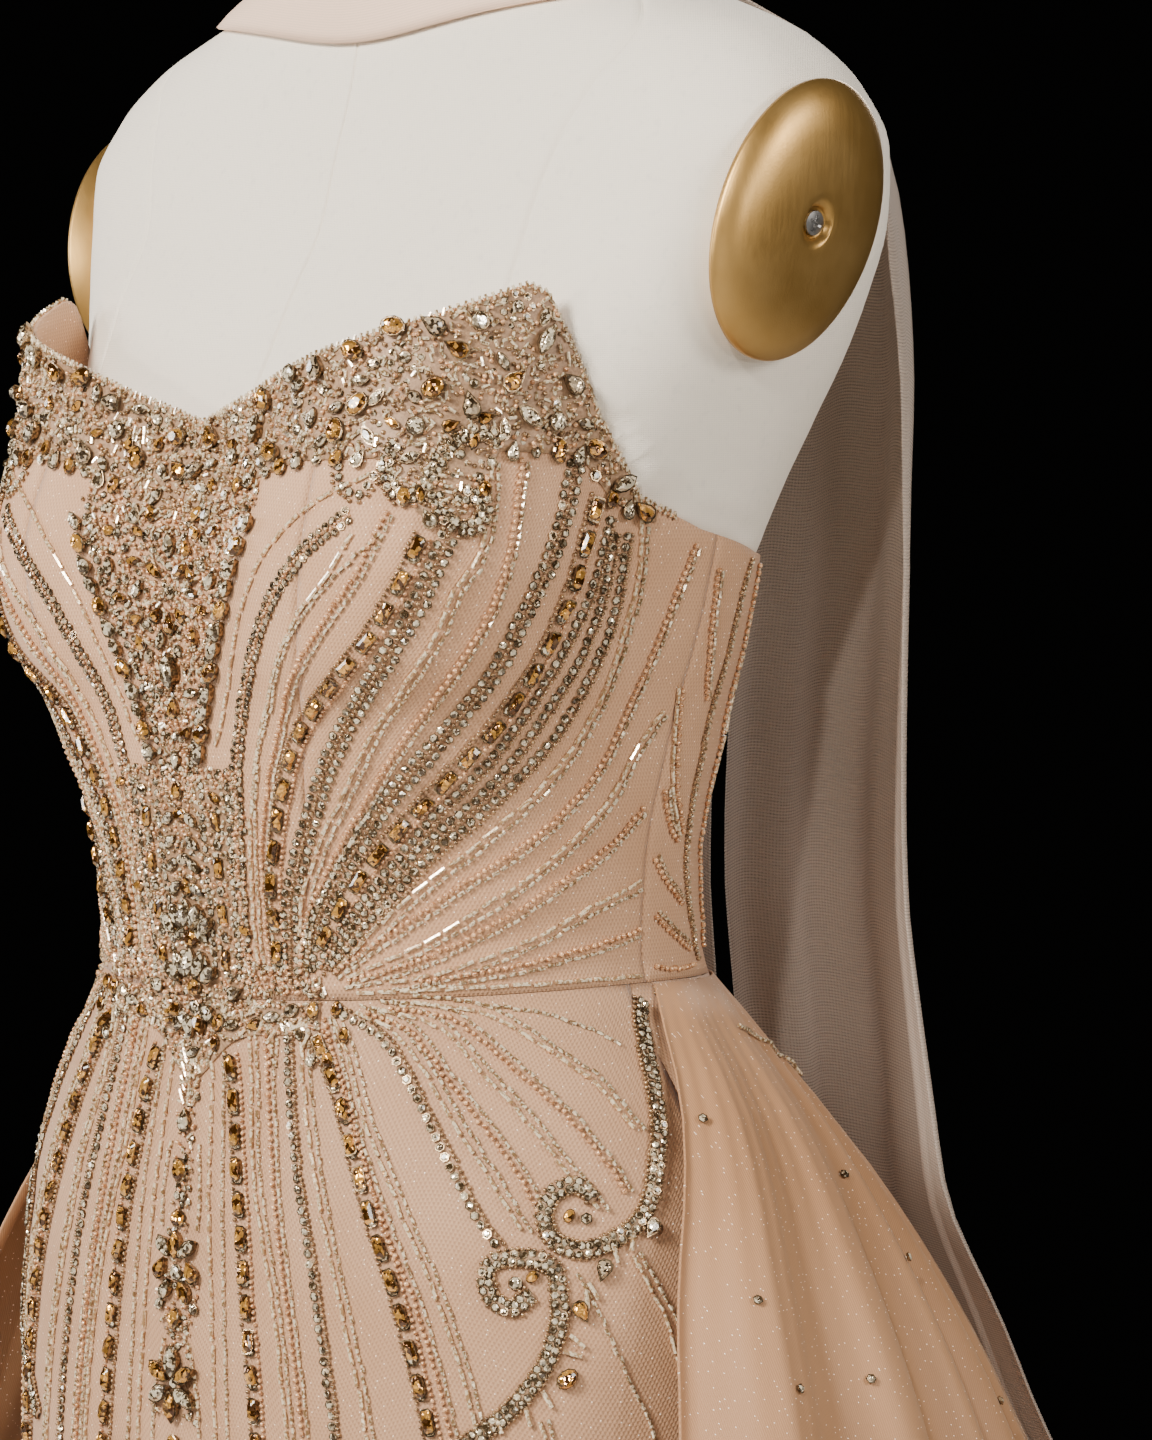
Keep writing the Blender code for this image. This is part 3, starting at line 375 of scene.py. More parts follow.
# Monotone cubic curve through the stations: smooth, and never past them.
def smoothCurve(stations, values, wanted):
    x, y = np.asarray(stations, float), np.asarray(values, float)
    wanted = np.clip(np.asarray(wanted, float), x[0], x[-1])
    step = np.diff(x)
    rise = np.diff(y) / step
    before, after = rise[:-1], rise[1:]
    a, b = 2 * step[1:] + step[:-1], step[1:] + 2 * step[:-1]
    same = before * after > 0
    inner = (a + b) / (a / np.where(same, before, 1.0) + b / np.where(same, after, 1.0))
    slope = np.concatenate([[rise[0]], np.where(same, inner, 0.0), [rise[-1]]])
    k = np.clip(np.searchsorted(x, wanted, side="right") - 1, 0, len(x) - 2)
    t = (wanted - x[k]) / step[k]
    bend = step[k] * t * (1 - t) * (slope[k] * (1 - t) - slope[k + 1] * t)
    return y[k] * (1 + 2 * t) * (1 - t) ** 2 + y[k + 1] * t * t * (3 - 2 * t) + bend


def column(rows, index, where):
    return smoothCurve(rows[:, 0], rows[:, index], where)


def unit(vectors):
    return vectors / np.linalg.norm(vectors, axis=-1, keepdims=True)


def wrapped(angle):  # into -180 to 180 degrees
    return (np.asarray(angle) + 180.0) % 360.0 - 180.0


def arcOf(points):  # distance along a line of points
    return np.concatenate([[0], np.cumsum(np.linalg.norm(np.diff(points, axis=0), axis=1))])


def neckline(angle):
    return np.interp(np.abs(angle), necklineRows[:, 0], necklineRows[:, 1])


def waistline(angle):
    return column(waistRows, 1, np.abs(angle))


# Superellipse: the distance out at which |sin/width|^n + |cos/depth|^n is 1.
def outline(turn, width, depth, power):
    return ((np.abs(np.sin(turn)) / width) ** power + (np.abs(np.cos(turn)) / depth) ** power) ** (-1.0 / power)


gown = {
    "cupAngle": 42.0, "cupSpread": 24.0, "flutes": 10, "fluteDepth": 0.020, "fluteTop": 0.50, "fluteCurve": 1.3,
    "metresPerDegree": 0.0024, "farSideDrop": 0.0018, "creaseEnd": 0.25,
}


# The body's outline at a height, with a bell-shaped swelling round each cup's angle.
def bodyRadius(rows, angle, height):
    turn = np.radians(angle)
    middle = column(axisRows, 1, height)
    depth = np.where(np.cos(turn) > 0, middle - column(rows, 2, height), column(rows, 3, height) - middle)
    radius = outline(turn, column(rows, 1, height), depth, column(rows, 4, height))
    away = np.abs(wrapped(angle)) - gown["cupAngle"]
    return radius + column(rows, 5, height) * np.exp(-((away / gown["cupSpread"]) ** 2))


def placed(angle, height, radius):
    turn = np.radians(angle)
    middle = column(axisRows, 1, height)
    return np.stack([radius * np.sin(turn), middle - radius * np.cos(turn), height + 0.0 * radius], -1)


creases = [  # soft ridges (above 0) and troughs: from angle, height to angle, height, then width and depth in mm
    (44, 1.0995, 91, 1.1010, 3.2, 0.45), (50, 1.1080, 92, 1.1165, 3.8, -0.55), (57, 1.1180, 91, 1.1330, 4.2, 0.60),
    (66, 1.1290, 92, 1.1500, 4.0, -0.50), (73, 1.1440, 90, 1.1660, 4.6, 0.50), (80, 1.1660, 92, 1.1900, 5.0, -0.45),
    (30, 1.1320, 52, 1.1600, 4.4, -0.35), (47, 1.1700, 66, 1.2000, 5.0, 0.35), (86, 1.2080, 95, 1.2360, 5.0, 0.45),
    (44, 1.0740, 82, 1.0600, 3.6, -0.50), (52, 1.0640, 86, 1.0360, 4.4, 0.60), (41, 1.0580, 60, 1.0240, 4.6, -0.45),
    (64, 1.0400, 84, 1.0060, 5.0, -0.55), (26, 1.0540, 36, 1.0100, 4.6, 0.35), (70, 0.9700, 88, 0.9300, 6.5, 0.50),
    (97, 1.1040, 128, 1.1120, 4.2, 0.50), (99, 1.1300, 133, 1.1480, 4.8, -0.50),
    (104, 1.1720, 131, 1.1900, 5.2, 0.40), (142, 1.1060, 174, 1.1160, 4.4, -0.55),
    (145, 1.1380, 171, 1.1560, 5.0, 0.45), (150, 1.0720, 176, 1.0560, 4.6, 0.50),
    (100, 1.0700, 132, 1.0460, 5.0, 0.50), (112, 1.0300, 138, 1.0000, 5.6, -0.50), (8, 0.6600, 52, 0.6200, 9.0, -1.00),
    (20, 0.6050, 76, 0.5500, 10.0, 1.10), (2, 0.5600, 40, 0.5100, 9.0, -0.90), (84, 0.6400, 130, 0.5900, 10.0, -1.00),
    (98, 0.5700, 150, 0.5300, 11.0, 1.00), (136, 0.6700, 176, 0.6200, 9.5, 0.90),
]


# The gown's outside: body outline, ten flutes that fade out at the knee, and the creases, each a bell-shaped
# bump across its line that dies away at its ends.
def gownSurface(angle, height):
    flare = np.clip((gown["fluteTop"] - height) / gown["fluteTop"], 0, 1) ** gown["fluteCurve"]
    wave = np.cos(np.radians(gown["flutes"] * angle) + 0.45 * np.sin(np.radians(3 * angle)))
    relief = gown["fluteDepth"] * flare * wave
    turned, degree = wrapped(angle), gown["metresPerDegree"]
    drop = np.where(turned < 0, gown["farSideDrop"], 0.0)
    for a, h, b, g, width, depth in creases:
        run, rise = (b - a) * degree, g - h
        size = math.hypot(run, rise)
        across, up = (np.abs(turned) - a) * degree, height + drop - h
        along = (across * run + up * rise) / size ** 2
        off = (across * rise - up * run) / size
        ends = np.clip(along / gown["creaseEnd"], 0, 1) * np.clip((1 - along) / gown["creaseEnd"], 0, 1)
        relief = relief + depth * 0.001 * np.exp(-((off / (width * 0.001)) ** 2)) * ends ** 0.5
    return placed(angle, height, bodyRadius(gownRows, angle, height) + relief)


# Unit outward normals from small steps in the two parameters.
def normalsOf(surface, angle, height, turn=0.4, rise=0.002):
    across = surface(angle + turn, height) - surface(angle - turn, height)
    up = surface(angle, height + rise) - surface(angle, height - rise)
    return unit(np.cross(across, up))


plate = {"centre": (0.190, 0.0245, 1.376), "up": (0.15, 0.34, 0.930), "halfHeight": 0.0535, "halfWidth": 0.0405}


def plateAxes(side):  # up, back and outward
    up = unit(np.array(plate["up"]) * (side, 1, 1))
    outward = unit(np.cross([0.0, 1.0, 0.0], up) * side)
    return up, np.cross(outward, up) * -side, outward


form = {"inset": 0.0025, "bare": 0.002, "easing": 1.6, "waist": 1.09}


# The dress form: 2.5 mm inside the gown up to the neckline, its own outline above, cut by the planes of the arm plates.
def formSurface(angle, height):
    inside = gownSurface(angle, height) - form["inset"] * normalsOf(gownSurface, angle, height)
    middle = column(axisRows, 1, height)
    reach = np.hypot(inside[..., 0], inside[..., 1] - middle)
    free = np.maximum(height - neckline(angle) - form["bare"], 0.0)
    own = np.minimum(bodyRadius(formRows, angle, height), reach + form["easing"] * free)
    share = np.where(height < form["waist"], reach, own) / reach
    points = np.stack([inside[..., 0] * share, middle + (inside[..., 1] - middle) * share, inside[..., 2]], -1)
    for side in (1, -1):
        outward = plateAxes(side)[2]
        beyond = np.maximum((points - np.array(plate["centre"]) * (side, 1, 1)) @ outward, 0)
        points = points - beyond[..., None] * outward
    return points


overskirt = {
    "folds": 9.0, "foldShare": 0.85, "rollShare": 0.9, "rollWidth": 0.035, "gathers": 31.0, "gatherDepth": 0.0011,
    "clearance": 0.0022, "blend": 0.004, "sewnFrom": 1.074, "sewnOver": 0.013, "sewnLift": 0.0019,
    "columns": 75, "rows": 62, "thickness": 0.0009, "gap": 0.00016, "split": 0.5172, "hem": 0.012,
}


def overskirtReach(angle, height):
    return outline(np.radians(angle), column(overskirtRows, 1, height), column(overskirtRows, 2, height), 2.0)


# The overskirt: an ellipse less a wave of nine folds, never closer than 2 mm to the skirt; share runs from its front
# edge to the centre back. Fine gathers ride on the folds.
def overskirtSurface(share, height):
    front = column(overskirtRows, 3, height)
    angle = front + (180.0 - front) * share
    depth = column(overskirtRows, 4, height)
    phase = overskirt["folds"] * share + 0.16 * np.sin(2 * np.pi * (2.3 * share + 0.2))
    wave = 0.5 - 0.5 * np.cos(2 * np.pi * phase + 1.1)
    roll = np.exp(-((share / overskirt["rollWidth"]) ** 2))
    reach = overskirtReach(angle, height) - depth * (overskirt["foldShare"] * wave + overskirt["rollShare"] * roll)
    turns = overskirt["gathers"] * share + 0.8 * np.sin(9.0 * share) + 0.5 * height
    gather = 0.5 - 0.5 * np.cos(2 * np.pi * turns)
    fade = np.clip((1.085 - height) / 0.03, 0, 1) * np.exp(-((1.09 - height) / 0.30) ** 2)
    under = bodyRadius(gownRows, angle, height) + gown["fluteDepth"] * (height < gown["fluteTop"])
    closest = under + overskirt["clearance"] + 0.004 * np.clip((1.095 - height) / 0.12, 0, 1)
    blend = overskirt["blend"]
    radius = closest + blend * np.logaddexp(0, (reach - closest) / blend) + overskirt["gatherDepth"] * gather * fade
    sewnShare = np.clip((height - overskirt["sewnFrom"]) / overskirt["sewnOver"], 0, 1)
    return placed(angle, height, (1 - sewnShare) * radius + sewnShare * (under + overskirt["sewnLift"]))


collar = {"frontFoot": 1.448, "backFoot": 1.466, "sideRise": 0.007, "top": 1.512, "thickness": 0.0012}
cape = {
    "waves": 4.0, "overClearance": 0.010, "formClearance": 0.009, "blend": 0.006, "shoulder": 1.27, "inward": 0.13,
    "columns": 84, "rows": 90, "thickness": 0.0006, "hem": 0.016, "top": 1.450, "sewnLift": 0.0046,
}


def collarFoot(angle):
    turn = np.radians(angle)
    share = 0.5 + 0.5 * np.cos(turn)
    return collar["frontFoot"] * share + collar["backFoot"] * (1 - share) + collar["sideRise"] * np.sin(turn) ** 2


# The collar: the form's neck moved out by a stand-off that swells above the lower edge.
def collarSurface(angle, share):
    foot = collarFoot(angle)
    height = foot + (collar["top"] - foot) * share
    return formSurface(angle, height) + column(collarRows, 1, share)[..., None] * normalsOf(formSurface, angle, height)


# The cape: hangs from the shoulders at its own reach, or over the overskirt, with four long waves across it.
def capeSurface(share, height):
    inner = column(capeRows, 1, height)
    angle = inner + (column(capeRows, 2, height) - inner) * share
    wave = 0.5 + 0.5 * np.cos(2 * np.pi * (cape["waves"] * share + 0.1 * np.sin(7 * share)) + 0.6)
    hang = column(capeRows, 3, height) * (1.0 - cape["inward"] * np.clip(1 - share, 0, 1) ** 1.5)
    over = np.where(height < 1.06, overskirtReach(angle, height) + cape["overClearance"], 0.0)
    shoulder = np.maximum(height, cape["shoulder"])
    body = formSurface(angle, shoulder)
    reach = np.hypot(body[..., 0], body[..., 1] - column(axisRows, 1, shoulder))
    furthest = np.maximum(hang, reach + cape["formClearance"])
    furthest = furthest + cape["blend"] * np.logaddexp(0, (over - furthest) / cape["blend"])
    return placed(angle, height, furthest + column(capeRows, 4, height) * wave)


def meshObject(name, points, faces, material, smooth=True):
    mesh = bpy.data.meshes.new(name)
    faces = np.asarray(faces, np.int32)
    corners = faces.shape[1]
    mesh.vertices.add(len(points))
    mesh.vertices.foreach_set("co", np.asarray(points, np.float32).ravel())
    mesh.loops.add(faces.size)
    mesh.loops.foreach_set("vertex_index", faces.ravel())
    mesh.polygons.add(len(faces))
    mesh.polygons.foreach_set("loop_start", np.arange(0, faces.size, corners, dtype=np.int32))
    mesh.polygons.foreach_set("loop_total", np.full(len(faces), corners, np.int32))
    mesh.polygons.foreach_set("use_smooth", np.full(len(faces), smooth))
    mesh.update(calc_edges=True)
    mesh.materials.append(material)
    thing = bpy.data.objects.new(name, mesh)
    bpy.context.scene.collection.objects.link(thing)
    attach(thing, "root")
    return thing


def closed(grid):  # the first column again after the last
    return np.concatenate([grid, grid[:, :1]], 1)


def cells(grid):  # the four corners of each cell of a grid
    return np.stack([grid[:-1, :-1], grid[:-1, 1:], grid[1:, 1:], grid[1:, :-1]], 2)


def rims(grid, ring):  # the steps along each free edge of a grid
    pairs = [(grid[0, 1:], grid[0, :-1]), (grid[-1, :-1], grid[-1, 1:])]
    if not ring:
        pairs += [(grid[:-1, 0], grid[1:, 0]), (grid[1:, -1], grid[:-1, -1])]
    return pairs


# Triangles over a stack of closed rings, and a fan from each end ring to its hub; the two hubs are the last points.
def ringFaces(rings, count):
    index = closed(np.arange(rings * count).reshape(rings, count))
    quads = cells(index).reshape(-1, 4)
    under, over = np.full(count, rings * count), np.full(count, rings * count + 1)
    fans = [(index[0, 1:], index[0, :-1], under), (index[-1, :-1], index[-1, 1:], over)]
    return np.concatenate([quads[:, :3], quads[:, [0, 2, 3]], *(np.stack(fan, -1) for fan in fans)])


# A closed wall from a grid of points and the same grid moved in along its normals; its UVs are metres of cloth.
# It gives the object, its flat width and length, and its area.
def shell(name, outer, out, thickness, material, ring=False):
    shift, backwards = outer.shape[0] * outer.shape[1], [0, 3, 2, 1]
    index = np.arange(shift).reshape(outer.shape[:2])
    grid = outer
    if ring:
        index, grid = closed(index), closed(outer)
    quads = cells(index)
    edges = [np.stack([p, q, q + shift, p + shift], -1) for p, q in rims(index, ring)]
    faces = np.concatenate([quads.reshape(-1, 4), quads[:, :, backwards].reshape(-1, 4) + shift, *edges])
    points = np.concatenate([outer.reshape(-1, 3), (outer - thickness * out).reshape(-1, 3)])
    thing = meshObject(name, points, faces, material)
    across, along = np.zeros(grid.shape[:2]), np.zeros(grid.shape[:2])
    across[:, 1:] = np.cumsum(np.linalg.norm(np.diff(grid, axis=1), axis=-1), 1)
    along[1:] = np.cumsum(np.linalg.norm(np.diff(grid, axis=0), axis=-1), 0)
    across = across - across[:, -1:] / 2
    metres = np.stack([across, along], -1)
    flat = cells(metres)
    thin = [np.stack([p, q, q, p], 1) for p, q in rims(metres, ring)]
    places = np.concatenate([flat.reshape(-1, 4, 2), flat[:, :, backwards].reshape(-1, 4, 2), *thin])
    thing.data.uv_layers.new(name="clothMetres").data.foreach_set("uv", places.astype(np.float32).ravel())
    size = (float(across.max() - across.min()), float(along.max()))
    span = np.linalg.norm(np.cross(grid[:-1, 1:] - grid[:-1, :-1], grid[1:, :-1] - grid[:-1, :-1]), axis=-1)
    return thing, size, float(span.sum())


def sheetOf(made):
    thing, size, area = made
    print(f"  {thing.name}: cut {size[0]:.3f} x {size[1]:.3f} m, {area:.4f} m2")
    return thing


def angleSteps(start, end, step):
    return np.linspace(start, end, max(3, int(round(abs(end - start) / step)) + 1))


bodice = {"step": 1.4, "rows": 46, "thickness": 0.0014, "gap": 0.00016, "groove": 0.0005, "grooveWidth": 0.0016}
bodicePanels = [  # piece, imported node, from and to angle
    ("centreFrontBodice", "bodice_centre_front", -30, 30), ("frontLeftBodice", "bodice_front_left", 30, 94),
    ("sideLeftBodice", "bodice_side_left", 94, 138), ("backLeftBodice", "bodice_back_left", 138, 180),
    ("frontRightBodice", "bodice_front_right", -94, -30), ("sideRightBodice", "bodice_side_right", -138, -94),
    ("backRightBodice", "bodice_back_right", -180, -138),
]
skirt = {
    "step": 1.8, "rows": 84, "thickness": 0.0014, "gap": 0.00016, "groove": 0.0004, "grooveWidth": 0.002,
    "hem": 0.008, "seam": 0.00015,
}
gores = [
    ("skirtFront", "skirt_front", -90, 90), ("skirtSideLeft", "skirt_side_left", 90, 142.5),
    ("skirtBackLeft", "skirt_back_left", 142.5, 180), ("skirtSideRight", "skirt_side_right", -142.5, -90),
    ("skirtBackRight", "skirt_back_right", -180, -142.5),
]


def openSeams(outer, gap):  # draws the first and last columns in by a gap
    for end, neighbour in ((0, 1), (-1, -2)):
        outer[:, end] += gap * unit(outer[:, neighbour] - outer[:, end])


# One panel between two angles, drawn in at its upright seams by a bell-shaped groove.
def makePanel(name, node, start, end, cut, heights, held, material):
    angles = angleSteps(start, end, cut["step"])
    height = heights(angles, np.linspace(0, 1, cut["rows"])[:, None])
    angle = np.broadcast_to(angles, height.shape)
    outer, out = gownSurface(angle, height), normalsOf(gownSurface, angle, height)
    for seam in (start, end):
        away = np.radians(np.abs(angle - seam)) * 0.14
        outer = outer - (cut["groove"] * np.exp(-((away / cut["grooveWidth"]) ** 2)))[..., None] * out
    openSeams(outer, cut["gap"])
    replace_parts(sheetOf(shell(name, outer, out, cut["thickness"], material)), node)


def makeBodice(material):
    def heights(angles, share):
        low = waistline(angles) + skirt["seam"]
        return low + (neckline(angles) - low) * share

    for panel in bodicePanels:
        makePanel(*panel, bodice, heights, "stretched", material)


def makeSkirt(material):
    def heights(angles, share):
        return skirt["hem"] + (waistline(angles) - skirt["seam"] - skirt["hem"]) * share ** 0.9

    for panel in gores:
        makePanel(*panel, skirt, heights, "hung", material)


def makeOverskirt(material):
    split = overskirt["split"]
    for word, side in sides:
        for part, start, end in (("Side", 0.0, split), ("Back", split, 1.0)):
            share = np.linspace(start, end, overskirt["columns"])
            if part == "Side":  # finer towards the front edge
                share = share ** 1.25 * (split ** -0.25)
            top = waistline(95.0 + 85.0 * share) - 0.0006
            rise = np.linspace(0, 1, overskirt["rows"])[:, None] ** 0.85
            height = overskirt["hem"] + (top - overskirt["hem"]) * rise
            spread = np.broadcast_to(share, height.shape)
            outer = overskirtSurface(spread, height) * (side, 1, 1)
            out = normalsOf(overskirtSurface, spread, height, 0.003, 0.002) * (side, 1, 1)
            if side < 0:
                outer, out = outer[:, ::-1], out[:, ::-1]
            openSeams(outer, overskirt["gap"])
            made = shell(f"overskirt{part}{word}", outer, out, overskirt["thickness"], material)
            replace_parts(sheetOf(made), f"overskirt_{part.lower()}_{word.lower()}")


def makeCape(material):
    heights = cape["hem"] + (cape["top"] - cape["hem"]) * np.linspace(0, 1, cape["rows"]) ** 0.9
    share, height = np.meshgrid(np.linspace(0, 1, cape["columns"]), heights)
    topAngle = capeRows[-1, 1] + (capeRows[-1, 2] - capeRows[-1, 1]) * share[0]
    foot = collarFoot(topAngle)
    topOut = normalsOf(formSurface, topAngle, foot)
    top = formSurface(topAngle, foot) + cape["sewnLift"] * topOut
    outer = np.concatenate([capeSurface(share, height), top[None]])
    out = np.concatenate([-normalsOf(capeSurface, share, height, 0.01, 0.003), topOut[None]])
    for word, side in sides:
        points, away = outer * (side, 1, 1), out * (side, 1, 1)
        if side > 0:
            points, away = points[:, ::-1], away[:, ::-1]
        made = shell("cape" + word, points, away, cape["thickness"], material)
        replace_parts(sheetOf(made), "cape_" + word.lower())


def makeCollar(material):
    angle, share = np.meshgrid(np.linspace(0, 360, 145)[:-1], np.linspace(0, 1, 16))
    outer = collarSurface(angle, share)
    out = normalsOf(collarSurface, angle, share * 0.98 + 0.01, rise=0.01)
    made = shell("collarBand", outer, out, collar["thickness"], material, ring=True)
    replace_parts(sheetOf(made), "collar")


formCut = {
    "bottom": 0.870, "top": 1.535, "shoulder": 1.404, "seamDepth": 0.0012, "seamWidth": 0.0009, "bottomTuck": 0.95,
}
seamRows = np.array([  # height, angle of the form's princess seam
    [0.87, 40], [1.25, 40], [1.30, 46], [1.35, 54], [1.39, 59], [1.41, 62], [1.43, 67], [1.45, 74], [1.465, 79],
    [1.535, 81],
])


# Columns of points run along the princess seams, which swing outwards towards the shoulder, and the seams are
# bell-shaped grooves.
def makeForm(material):
    bottom, crest = formCut["bottom"], formCut["top"]
    fine = np.array([-0.9, -0.45, -0.25, 0.25, 0.45, 0.9])
    columns = np.concatenate([np.linspace(-180, 180, 241)[:-1], fine, 54 + fine, -54 + fine, [54, -54]])
    columns = np.unique(np.round(columns, 3))
    top = neckline(columns)
    rows = [np.full_like(columns, z) for z in np.linspace(bottom, 1.08, 16)]
    rows += [1.087 + (top - 1.087) * s for s in np.linspace(0, 1, 28)]
    rows += [top + (formCut["shoulder"] - top) * s for s in np.linspace(0, 1, 26)[1:]]
    rows += [np.full_like(columns, z) for z in np.linspace(formCut["shoulder"], crest, 40)[1:]]
    height = np.array(rows)
    seam = np.interp(height, seamRows[:, 0], seamRows[:, 1])
    beyond = seam + (180 - seam) * (np.abs(columns) - 54) / 126
    angle = np.sign(columns) * np.where(np.abs(columns) < 54, np.abs(columns) * seam / 54, beyond)
    away = np.minimum(np.abs(angle), np.abs(np.abs(angle) - seam)) * 0.0026
    groove = formCut["seamDepth"] * np.exp(-((away / formCut["seamWidth"]) ** 2))
    points = formSurface(angle, height) - groove[..., None] * normalsOf(formSurface, angle, height)
    points[0, :, :2] *= formCut["bottomTuck"]
    points[0, :, 2], points[-1, :, 2] = bottom, crest
    hubs = np.array([[0, points[0, :, 1].mean(), bottom], [0, points[-1, :, 1].mean(), crest]])
    faces = ringFaces(*points.shape[:2])
    made = meshObject("linenForm", np.concatenate([points.reshape(-1, 3), hubs]), faces, material)
    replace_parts(made, "form_torso")


plateDome = np.array([  # share of the half sizes, rise
    [1.0, 0.0], [1.0, 0.0016], [0.992, 0.0024], [0.975, 0.0033], [0.93, 0.0052], [0.86, 0.0072], [0.78, 0.0088],
    [0.65, 0.0102], [0.5, 0.0112], [0.36, 0.0117], [0.24, 0.0120], [0.19, 0.0120], [0.175, 0.0119],
])
plateSeat = np.array([[0.0070, 0.0112], [0.0060, 0.0098], [0.0056, 0.0090]])  # radius, rise


# The arm plate: rings of an oval dome, then round rings down into the screw's dished seat.
def makePlates(material, steel):
    spins = np.linspace(0, 2 * np.pi, 96, endpoint=False)
    for word, side in sides:
        up, back, outward = plateAxes(side)
        centre = np.array(plate["centre"]) * (side, 1, 1) + 0.0004 * outward
        across, along = np.cos(spins)[:, None] * back, np.sin(spins)[:, None] * up
        oval = plate["halfWidth"] * across + plate["halfHeight"] * along
        rings = [centre + s * oval + r * outward for s, r in plateDome]
        rings += [centre + r * (across + along) + z * outward for r, z in plateSeat]
        hubs = [centre[None], (centre + plateSeat[-1, 1] * outward)[None]]
        faces = facedOut(ringFaces(len(rings), len(spins)), back, up, outward)
        made = meshObject("armPlate" + word, np.concatenate(rings + hubs), faces, material)
        own = word.lower()
        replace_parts(made, "arm_plate_" + own)
        makeScrew("plateScrew" + word, centre + 0.0093 * outward, back, up, outward, steel, "arm_screw_" + own)


def facedOut(faces, back, up, outward):  # turned over where back, up and outward are left-handed
    return faces[:, ::-1] if np.dot(np.cross(back, up), outward) < 0 else faces


screw = {"radius": 0.0045, "edge": 0.0010, "dome": 0.0005, "slotDepth": 0.0010, "slotHalf": 0.13, "slotReach": 0.68}
screwRings = np.array([1.0, 1.0, 0.94, 0.84, 0.72, 0.6, 0.5, 0.4, 0.3, 0.22, 0.14, 0.07])[:, None]


# A countersunk screw: a domed disc whose rise drops inside a cross, |u| or |v| under the slot's half width.
def makeScrew(name, centre, back, up, outward, material, node):
    spins = np.linspace(0, 2 * np.pi, 72, endpoint=False)
    u, v = screwRings * np.cos(spins), screwRings * np.sin(spins)
    rise = screw["edge"] + screw["dome"] * (1 - screwRings ** 2) + 0.0 * u
    rise[0] = 0.0
    inCross = (np.abs(u) < screw["slotHalf"]) | (np.abs(v) < screw["slotHalf"])
    rise = np.where(inCross & (screwRings < screw["slotReach"]), rise - screw["slotDepth"], rise)
    points = centre + screw["radius"] * (u[..., None] * back + v[..., None] * up) + rise[..., None] * outward
    faces = facedOut(ringFaces(len(screwRings), len(spins)), back, up, outward)
    every = np.concatenate([points.reshape(-1, 3), centre[None], (centre + 0.0005 * outward)[None]])
    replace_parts(meshObject(name, every, faces, material, smooth=False), node)


makeForm(linen())
makePlates(brass(), metal("screwSteel", (0.34, 0.33, 0.32), (0.52, 0.51, 0.50), 0.34, 300.0))
print("dress form")
makeBodice(gownCloth("bodiceTulle", 0.99))
# The skirt is the bodice's cloth darkened to 0.86. This is painted shade, for the lower light on the skirt.
makeSkirt(gownCloth("skirtTullePaintedShade", 0.86))
print("bodice and skirt")
makeOverskirt(overskirtCloth())
makeCape(sheerNet("capeNet", (0.560, 0.460, 0.385), 0.29, 0.62, 0.0013))
makeCollar(sheerNet("collarTulle", (0.84, 0.60, 0.45), 0.86, 1.0, 0.0010))
print("overskirt, cape and collar")


# A bead's own axes: x along its line, y across it, z out of the cloth. All shapes are one unit long, wide and high.
def ringShape(outlinePoints, levels):  # the outline at each (scale, rise), closed below and above
    count, faces = len(outlinePoints), []
    points = np.concatenate([np.column_stack([outlinePoints * s, np.full(count, r)]) for s, r in levels])
    for ring in range(len(levels) - 1):
        for j in range(count):
            k = (j + 1) % count
            a, b = ring * count + j, ring * count + k
            faces += [(a, b, b + count), (a, b + count, a + count)]
    last = (len(levels) - 1) * count
    for j in range(1, count - 1):
        faces += [(0, j + 1, j), (last, last + j, last + j + 1)]
    return points, np.array(faces)


def polygon(count, turn=0.5):
    spins = (np.arange(count) + turn) * 2 * np.pi / count
    return 0.5 * np.column_stack([np.cos(spins), np.sin(spins)])


def seedShape():  # a twelve-cornered round bead
    g = (1 + 5 ** 0.5) / 2
    corners = np.array([
        (-1, g, 0), (1, g, 0), (-1, -g, 0), (1, -g, 0), (0, -1, g), (0, 1, g), (0, -1, -g), (0, 1, -g),
        (g, 0, -1), (g, 0, 1), (-g, 0, -1), (-g, 0, 1),
    ], float)
    faces = np.array([
        (0, 11, 5), (0, 5, 1), (0, 1, 7), (0, 7, 10), (0, 10, 11), (1, 5, 9), (5, 11, 4), (11, 10, 2), (10, 7, 6),
        (7, 1, 8), (3, 9, 4), (3, 4, 2), (3, 2, 6), (3, 6, 8), (3, 8, 9), (4, 9, 5), (2, 4, 11), (6, 2, 10),
        (8, 6, 7), (9, 8, 1),
    ])
    return unit(corners) * 0.5, faces


def tubeShape(corners):  # a cut glass tube along x
    points, faces = ringShape(polygon(corners), [(1.0, -0.5), (1.0, 0.5)])
    return points[:, [2, 0, 1]], faces


navetteOutline = np.array([(0.5, 0), (0.32, 0.16), (0.1, 0.24), (-0.1, 0.24), (-0.32, 0.16), (-0.5, 0),
                           (-0.32, -0.16), (-0.1, -0.24), (0.1, -0.24), (0.32, -0.16)])
pearOutline = np.array([(0.5, 0), (0.22, 0.17), (-0.05, 0.31), (-0.3, 0.31), (-0.46, 0.14), (-0.46, -0.14),
                        (-0.3, -0.31), (-0.05, -0.31), (0.22, -0.17)])
ovalOutline = polygon(10) * (1.0, 0.74)
baguetteOutline = np.array([(0.5, 0.16), (0.42, 0.24), (-0.42, 0.24), (-0.5, 0.16), (-0.5, -0.16),
                            (-0.42, -0.24), (0.42, -0.24), (0.5, -0.16)])
crown = [(1.0, 0.0), (1.0, 0.10), (0.84, 0.24), (0.52, 0.36)]
flatCrown = [(1.0, 0.0), (1.0, 0.12), (0.60, 0.34)]
roundCrown = [(1.0, 0.04), (0.58, 0.36)]
socket = [(0.92, -0.30), (1.13, 0.04), (1.02, 0.10)]
